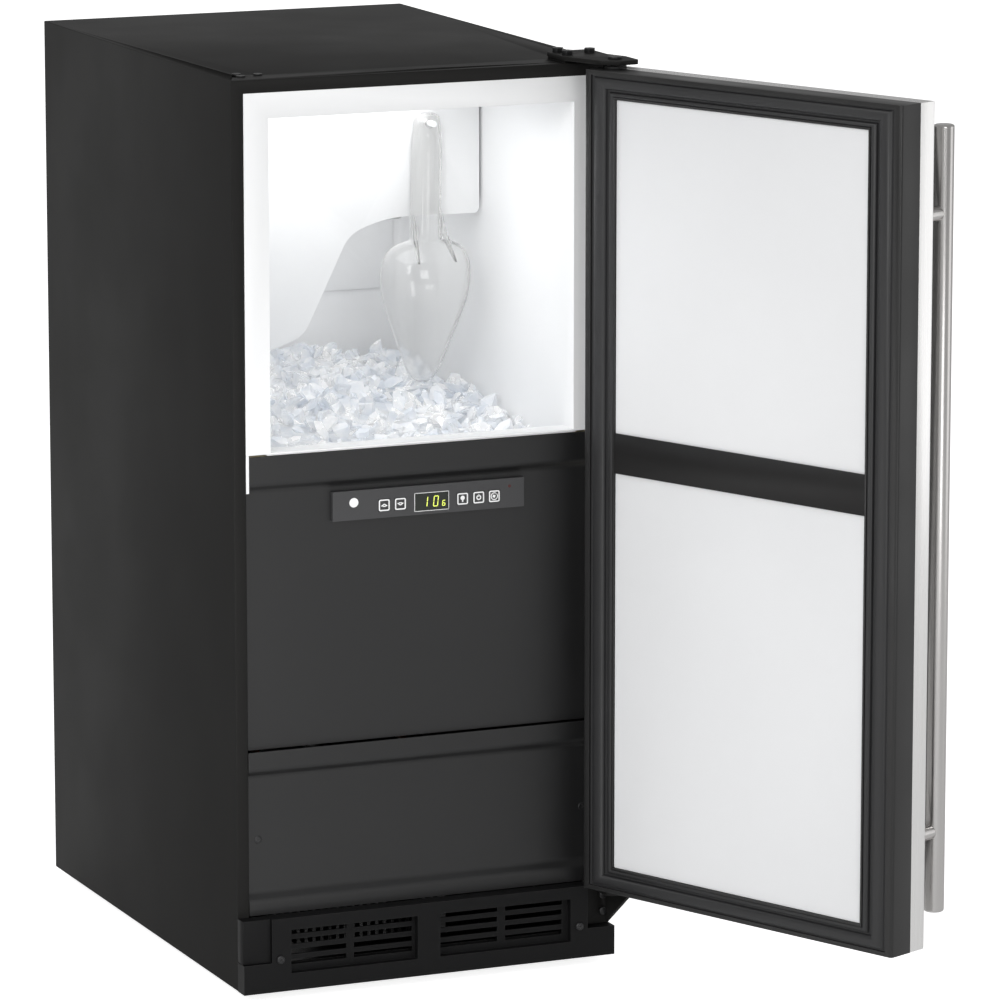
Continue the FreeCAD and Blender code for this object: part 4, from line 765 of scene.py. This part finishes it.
def makeIce():
    draw = random.Random(ice["seed"])
    core = heapCore()
    kinds = [iceChip(number) for number in range(ice["kinds"])]
    chips = []
    for number in range(ice["chips"]):
        kind = kinds[number % ice["kinds"]]
        x = draw.uniform(ice["left"] + ice["margin"], ice["right"] - ice["margin"])
        y = draw.uniform(ice["front"] + ice["margin"], ice["back"] - ice["backMargin"])
        size = draw.uniform(ice["small"], ice["large"])
        z = heapTop(x, y) + draw.uniform(*ice["sink"])
        turn = Matrix.Rotation(draw.uniform(0, ice["turn"]), 4,
                               Vector((draw.random(), draw.random(), draw.random() + 0.1)))
        shape = Matrix.Diagonal((size, size * draw.uniform(0.6, 1), size * draw.uniform(0.3, 0.7), 1))
        chip = bpy.data.objects.new("chip", kind.data.copy())
        chip.data.transform(turn @ shape)
        lowX, highX = min(v.co.x for v in chip.data.vertices), max(v.co.x for v in chip.data.vertices)
        lowY = min(v.co.y for v in chip.data.vertices)
        x = min(max(x, ice["left"] - lowX), ice["right"] - highX)
        y = max(y, ice["front"] - lowY)
        chip.data.transform(Matrix.Translation((x, y, z)))
        bpy.context.scene.collection.objects.link(chip)
        chips.append(chip)
    for kind in kinds:
        bpy.data.objects.remove(kind)
    heap = joined(core, *chips)
    rest(heap, "iceHeap", "cabinet", clearIce, ["ice_heap"], 12)


makeIce()
print("ice made")

# printed marks on the control bar: outlines and small signs on the keys, a frame and digits on the display

marks = {"thickness": 0.00015, "line": 0.0012, "keySize": 0.0115, "keyMargin": 0.0006, "corner": 0.0016,
         "keyHeight": 0.4618, "keyFace": -0.2558, "barFace": -0.2554, "glassFace": -0.2556,
         "keys": {"up_button": -0.0394, "down_button": -0.0231, "light_button": 0.040, "power_button": 0.0564,
                  "ice_button": 0.0723},
         "window": (0.0087, 0.034, 0.0166), "windowLine": 0.0013, "dot": (-0.0698, 0.4664, 0.0045)}


def plate(x, z, wide, tall, face, turn=0.0):
    # a thin printed bar
    half = Vector((wide / 2, marks["thickness"] / 2, tall / 2))
    piece = cubeAt(-half, half)
    piece.data.transform(Matrix.Translation((x, face - half.y, z)) @ Matrix.Rotation(math.radians(turn), 4, "Y"))
    return piece


def loop(x, z, wide, tall, line, corner, face):
    # a thin printed frame with round corners
    letGo()
    bpy.ops.mesh.primitive_plane_add(size=1, location=(0, 0, 0), rotation=(math.pi / 2, 0, 0))
    piece = bpy.context.object
    piece.scale = (wide, tall, 1)
    bpy.ops.object.transform_apply(location=True, rotation=True, scale=True)
    editing(piece, "VERT", True)
    bpy.ops.mesh.bevel(offset=corner, segments=4, affect="VERTICES")
    bpy.ops.mesh.select_mode(type="FACE")
    bpy.ops.mesh.select_all(action="SELECT")
    bpy.ops.mesh.inset(thickness=line)
    bpy.ops.mesh.delete(type="FACE")
    bpy.ops.mesh.select_all(action="SELECT")
    bpy.ops.mesh.extrude_region_move(TRANSFORM_OT_translate={"value": (0, -marks["thickness"], 0)})
    letGo()
    cleaned(piece)
    piece.data.transform(Matrix.Translation((x, face, z)))
    return piece


def disc(x, z, radius, face, hole=0.0, sides=24):
    letGo()
    bpy.ops.mesh.primitive_circle_add(vertices=sides, radius=radius, fill_type="NGON", rotation=(math.pi / 2, 0, 0))
    piece = bpy.context.object
    bpy.ops.object.transform_apply(location=True, rotation=True, scale=True)
    editing(piece, "FACE", True)
    if hole:
        bpy.ops.mesh.inset(thickness=radius - hole)
        bpy.ops.mesh.delete(type="FACE")
        bpy.ops.mesh.select_all(action="SELECT")
    bpy.ops.mesh.extrude_region_move(TRANSFORM_OT_translate={"value": (0, -marks["thickness"], 0)})
    letGo()
    cleaned(piece)
    piece.data.transform(Matrix.Translation((x, face, z)))
    return piece


def signs(key, x):
    z, face = marks["keyHeight"], marks["keyFace"]
    if key == "up_button":
        return [plate(x - 0.0014, z + 0.0001, 0.0035, 0.0011, face, -34),
                plate(x + 0.0014, z + 0.0001, 0.0035, 0.0011, face, 34), plate(x, z - 0.0011, 0.003, 0.0009, face)]
    if key == "down_button":
        return [plate(x - 0.0014, z - 0.0001, 0.0035, 0.0011, face, 34),
                plate(x + 0.0014, z - 0.0001, 0.0035, 0.0011, face, -34), plate(x, z + 0.0011, 0.003, 0.0009, face)]
    if key == "light_button":
        return [disc(x, z + 0.0008, 0.0022, face), plate(x, z - 0.0019, 0.0014, 0.0022, face)]
    if key == "power_button":
        return [disc(x, z, 0.0025, face, 0.0014), plate(x, z + 0.0018, 0.0009, 0.0024, face)]
    return [disc(x, z, 0.0037, face, 0.0028), plate(x - 0.0003, z, 0.0026, 0.0026, face, 20),
            plate(x + 0.0022, z + 0.0022, 0.0014, 0.0014, face, 20)]


for key, x in marks["keys"].items():
    side = marks["keySize"] - marks["keyMargin"]
    outline = loop(x, marks["keyHeight"], side, side, marks["line"], marks["corner"], marks["keyFace"])
    rest(joined(outline, *signs(key, x)), key + "_mark", key, whitePrint)
windowX, windowWide, windowTall = marks["window"]
frameMark = loop(windowX, marks["keyHeight"], windowWide + 0.001, windowTall + 0.001, marks["windowLine"], 0.0004,
                 marks["barFace"])
dotX, dotZ, dotRadius = marks["dot"]
rest(joined(frameMark, disc(dotX, dotZ, dotRadius, marks["barFace"], 0.0, 32)), "barMarks", "cabinet", whitePrint)

digits = {"line": 0.0008, "smallLine": 0.0007, "slant": 6, "big": (0.0050, 0.0102), "small": (0.0032, 0.0056),
          "shown": [("1", -0.0066, 0.0, "big", "line"), ("0", 0.0042, 0.0, "big", "line"),
                    ("6", 0.0122, -0.0024, "small", "smallLine")]}
strokes = {"top": (0, 1, True), "middle": (0, 0, True), "bottom": (0, -1, True), "highLeft": (-1, 0.5, False),
           "highRight": (1, 0.5, False), "lowLeft": (-1, -0.5, False), "lowRight": (1, -0.5, False)}
figures = {"1": ["highRight", "lowRight"],
           "0": ["top", "bottom", "highLeft", "highRight", "lowLeft", "lowRight"],
           "6": ["top", "middle", "bottom", "highLeft", "lowLeft", "lowRight"]}


def figure(sign, x, z, size, line):
    wide, tall = size
    slant = math.tan(math.radians(digits["slant"]))
    pieces = []
    for stroke in figures[sign]:
        across, up, lying = strokes[stroke]
        upShift = up * (tall - line) / 2
        place = x + across * (wide - line) / 2 + upShift * slant, z + upShift
        if lying:
            pieces.append(plate(*place, wide - 1.5 * line, line, marks["glassFace"]))
        else:
            pieces.append(plate(*place, line, (tall - line) / 2 - 0.6 * line, marks["glassFace"], digits["slant"]))
    return pieces


lit = [piece for sign, across, up, size, line in digits["shown"]
       for piece in figure(sign, windowX + across, marks["keyHeight"] + up, digits[size], digits[line])]
rest(joined(*lit), "displayDigits", "cabinet", digitGlow)
print("control bar marked")

# camera, light and floor

studio = {
    "floorSize": 30, "floorGlow": 0.85, "floorMirror": 0.12, "skyMirror": 0.42, "skyFill": 0.42,
    # where each lamp stands, where it looks, its width and height, its power
    "lamps": {"keyLight": ((-2.8, -2.2, 2.4), (0.1, 0, 0.5), (1.8, 1.8), 46),
              "frontLight": ((-0.6, -4.4, 1.9), (0, 0, 0.6), (1.4, 1.4), 26),
              "rightCard": ((2.6, -1.5, 0.6), (0.3, -0.6, 0.5), (1.4, 2.0), 7),
              "panelLight": ((-0.30, -0.55, 0.36), (-0.08, -0.257, 0.36), (0.1, 0.6), 0.6),
              "lowFill": ((0.1, -3.2, 0.25), (0.3, -0.6, 0.1), (1.0, 0.5), 4),
              "binLight": ((-0.02, -0.12, 0.822), (-0.02, -0.10, 0.0), (0.22, 0.16), 0.22),
              "lowLight": ((0.0, 0.04, 0.715), (0.0, 0.07, 0.0), (0.24, 0.14), 0.14)},
}
view = {"place": (-2.22662, -5.60534, 1.59604), "yaw": 0.4068, "down": 0.1930, "lens": 227.3}
bpy.ops.object.camera_add(location=view["place"], rotation=(math.pi / 2 - view["down"], 0, -view["yaw"]))
camera = bpy.context.object
camera.name = "camera"
camera.data.lens = view["lens"]
camera.data.sensor_width = 36
camera.data.dof.use_dof = False
bpy.context.scene.camera = camera
bpy.context.scene.view_settings.view_transform = "Standard"


def paleFloor():
    # a pale sweep, lit a little from within so that it stays white
    material, tree, shader = newFinish("paleFloor", (0.93, 0.93, 0.93), 0.6)
    grain = useGroup(tree, fineGrain, Scale=30, Slow_Scale=2)
    colourBetween(tree, grain.outputs["Variation"], (0.92, 0.92, 0.92), (0.94, 0.94, 0.94),
                  shader.inputs["Base Color"])
    shader.inputs["Emission Color"].default_value = (1, 1, 1, 1)
    rays = put(tree, "ShaderNodeLightPath")
    mirrored = mathNode(tree, "MULTIPLY", rays.outputs["Is Glossy Ray"], studio["floorMirror"])
    direct = mathNode(tree, "MULTIPLY", rays.outputs["Is Camera Ray"], studio["floorGlow"])
    glow = mathNode(tree, "MAXIMUM", direct, mirrored)
    tree.links.new(glow, shader.inputs["Emission Strength"])
    return material


letGo()
bpy.ops.mesh.primitive_plane_add(size=studio["floorSize"], location=(0, 0, 0))
floor = bpy.context.object
floor.name = "floor"
floor.data.materials.append(paleFloor())
world = bpy.data.worlds.new("studio")
world.use_nodes = True
background = world.node_tree.nodes["Background"]
background.inputs["Color"].default_value = (1, 1, 1, 1)
rays = put(world.node_tree, "ShaderNodeLightPath")
shiny = mathNode(world.node_tree, "MULTIPLY", rays.outputs["Is Glossy Ray"], studio["skyMirror"])
direct = mathNode(world.node_tree, "MAXIMUM", rays.outputs["Is Camera Ray"], shiny)
brightness = mathNode(world.node_tree, "MAXIMUM", direct, studio["skyFill"])
world.node_tree.links.new(brightness, background.inputs["Strength"])
bpy.context.scene.world = world


def softBox(name, place, aim, size, power):
    letGo()
    direction = Vector(aim) - Vector(place)
    bpy.ops.object.light_add(type="AREA", location=place, rotation=direction.to_track_quat("-Z", "Y").to_euler())
    lamp = bpy.context.object
    lamp.name = name
    lamp.data.shape = "RECTANGLE"
    lamp.data.size, lamp.data.size_y = size
    lamp.data.energy = power
    lamp.visible_camera = False


for name, lamp in studio["lamps"].items():
    softBox(name, *lamp)
print("studio set")
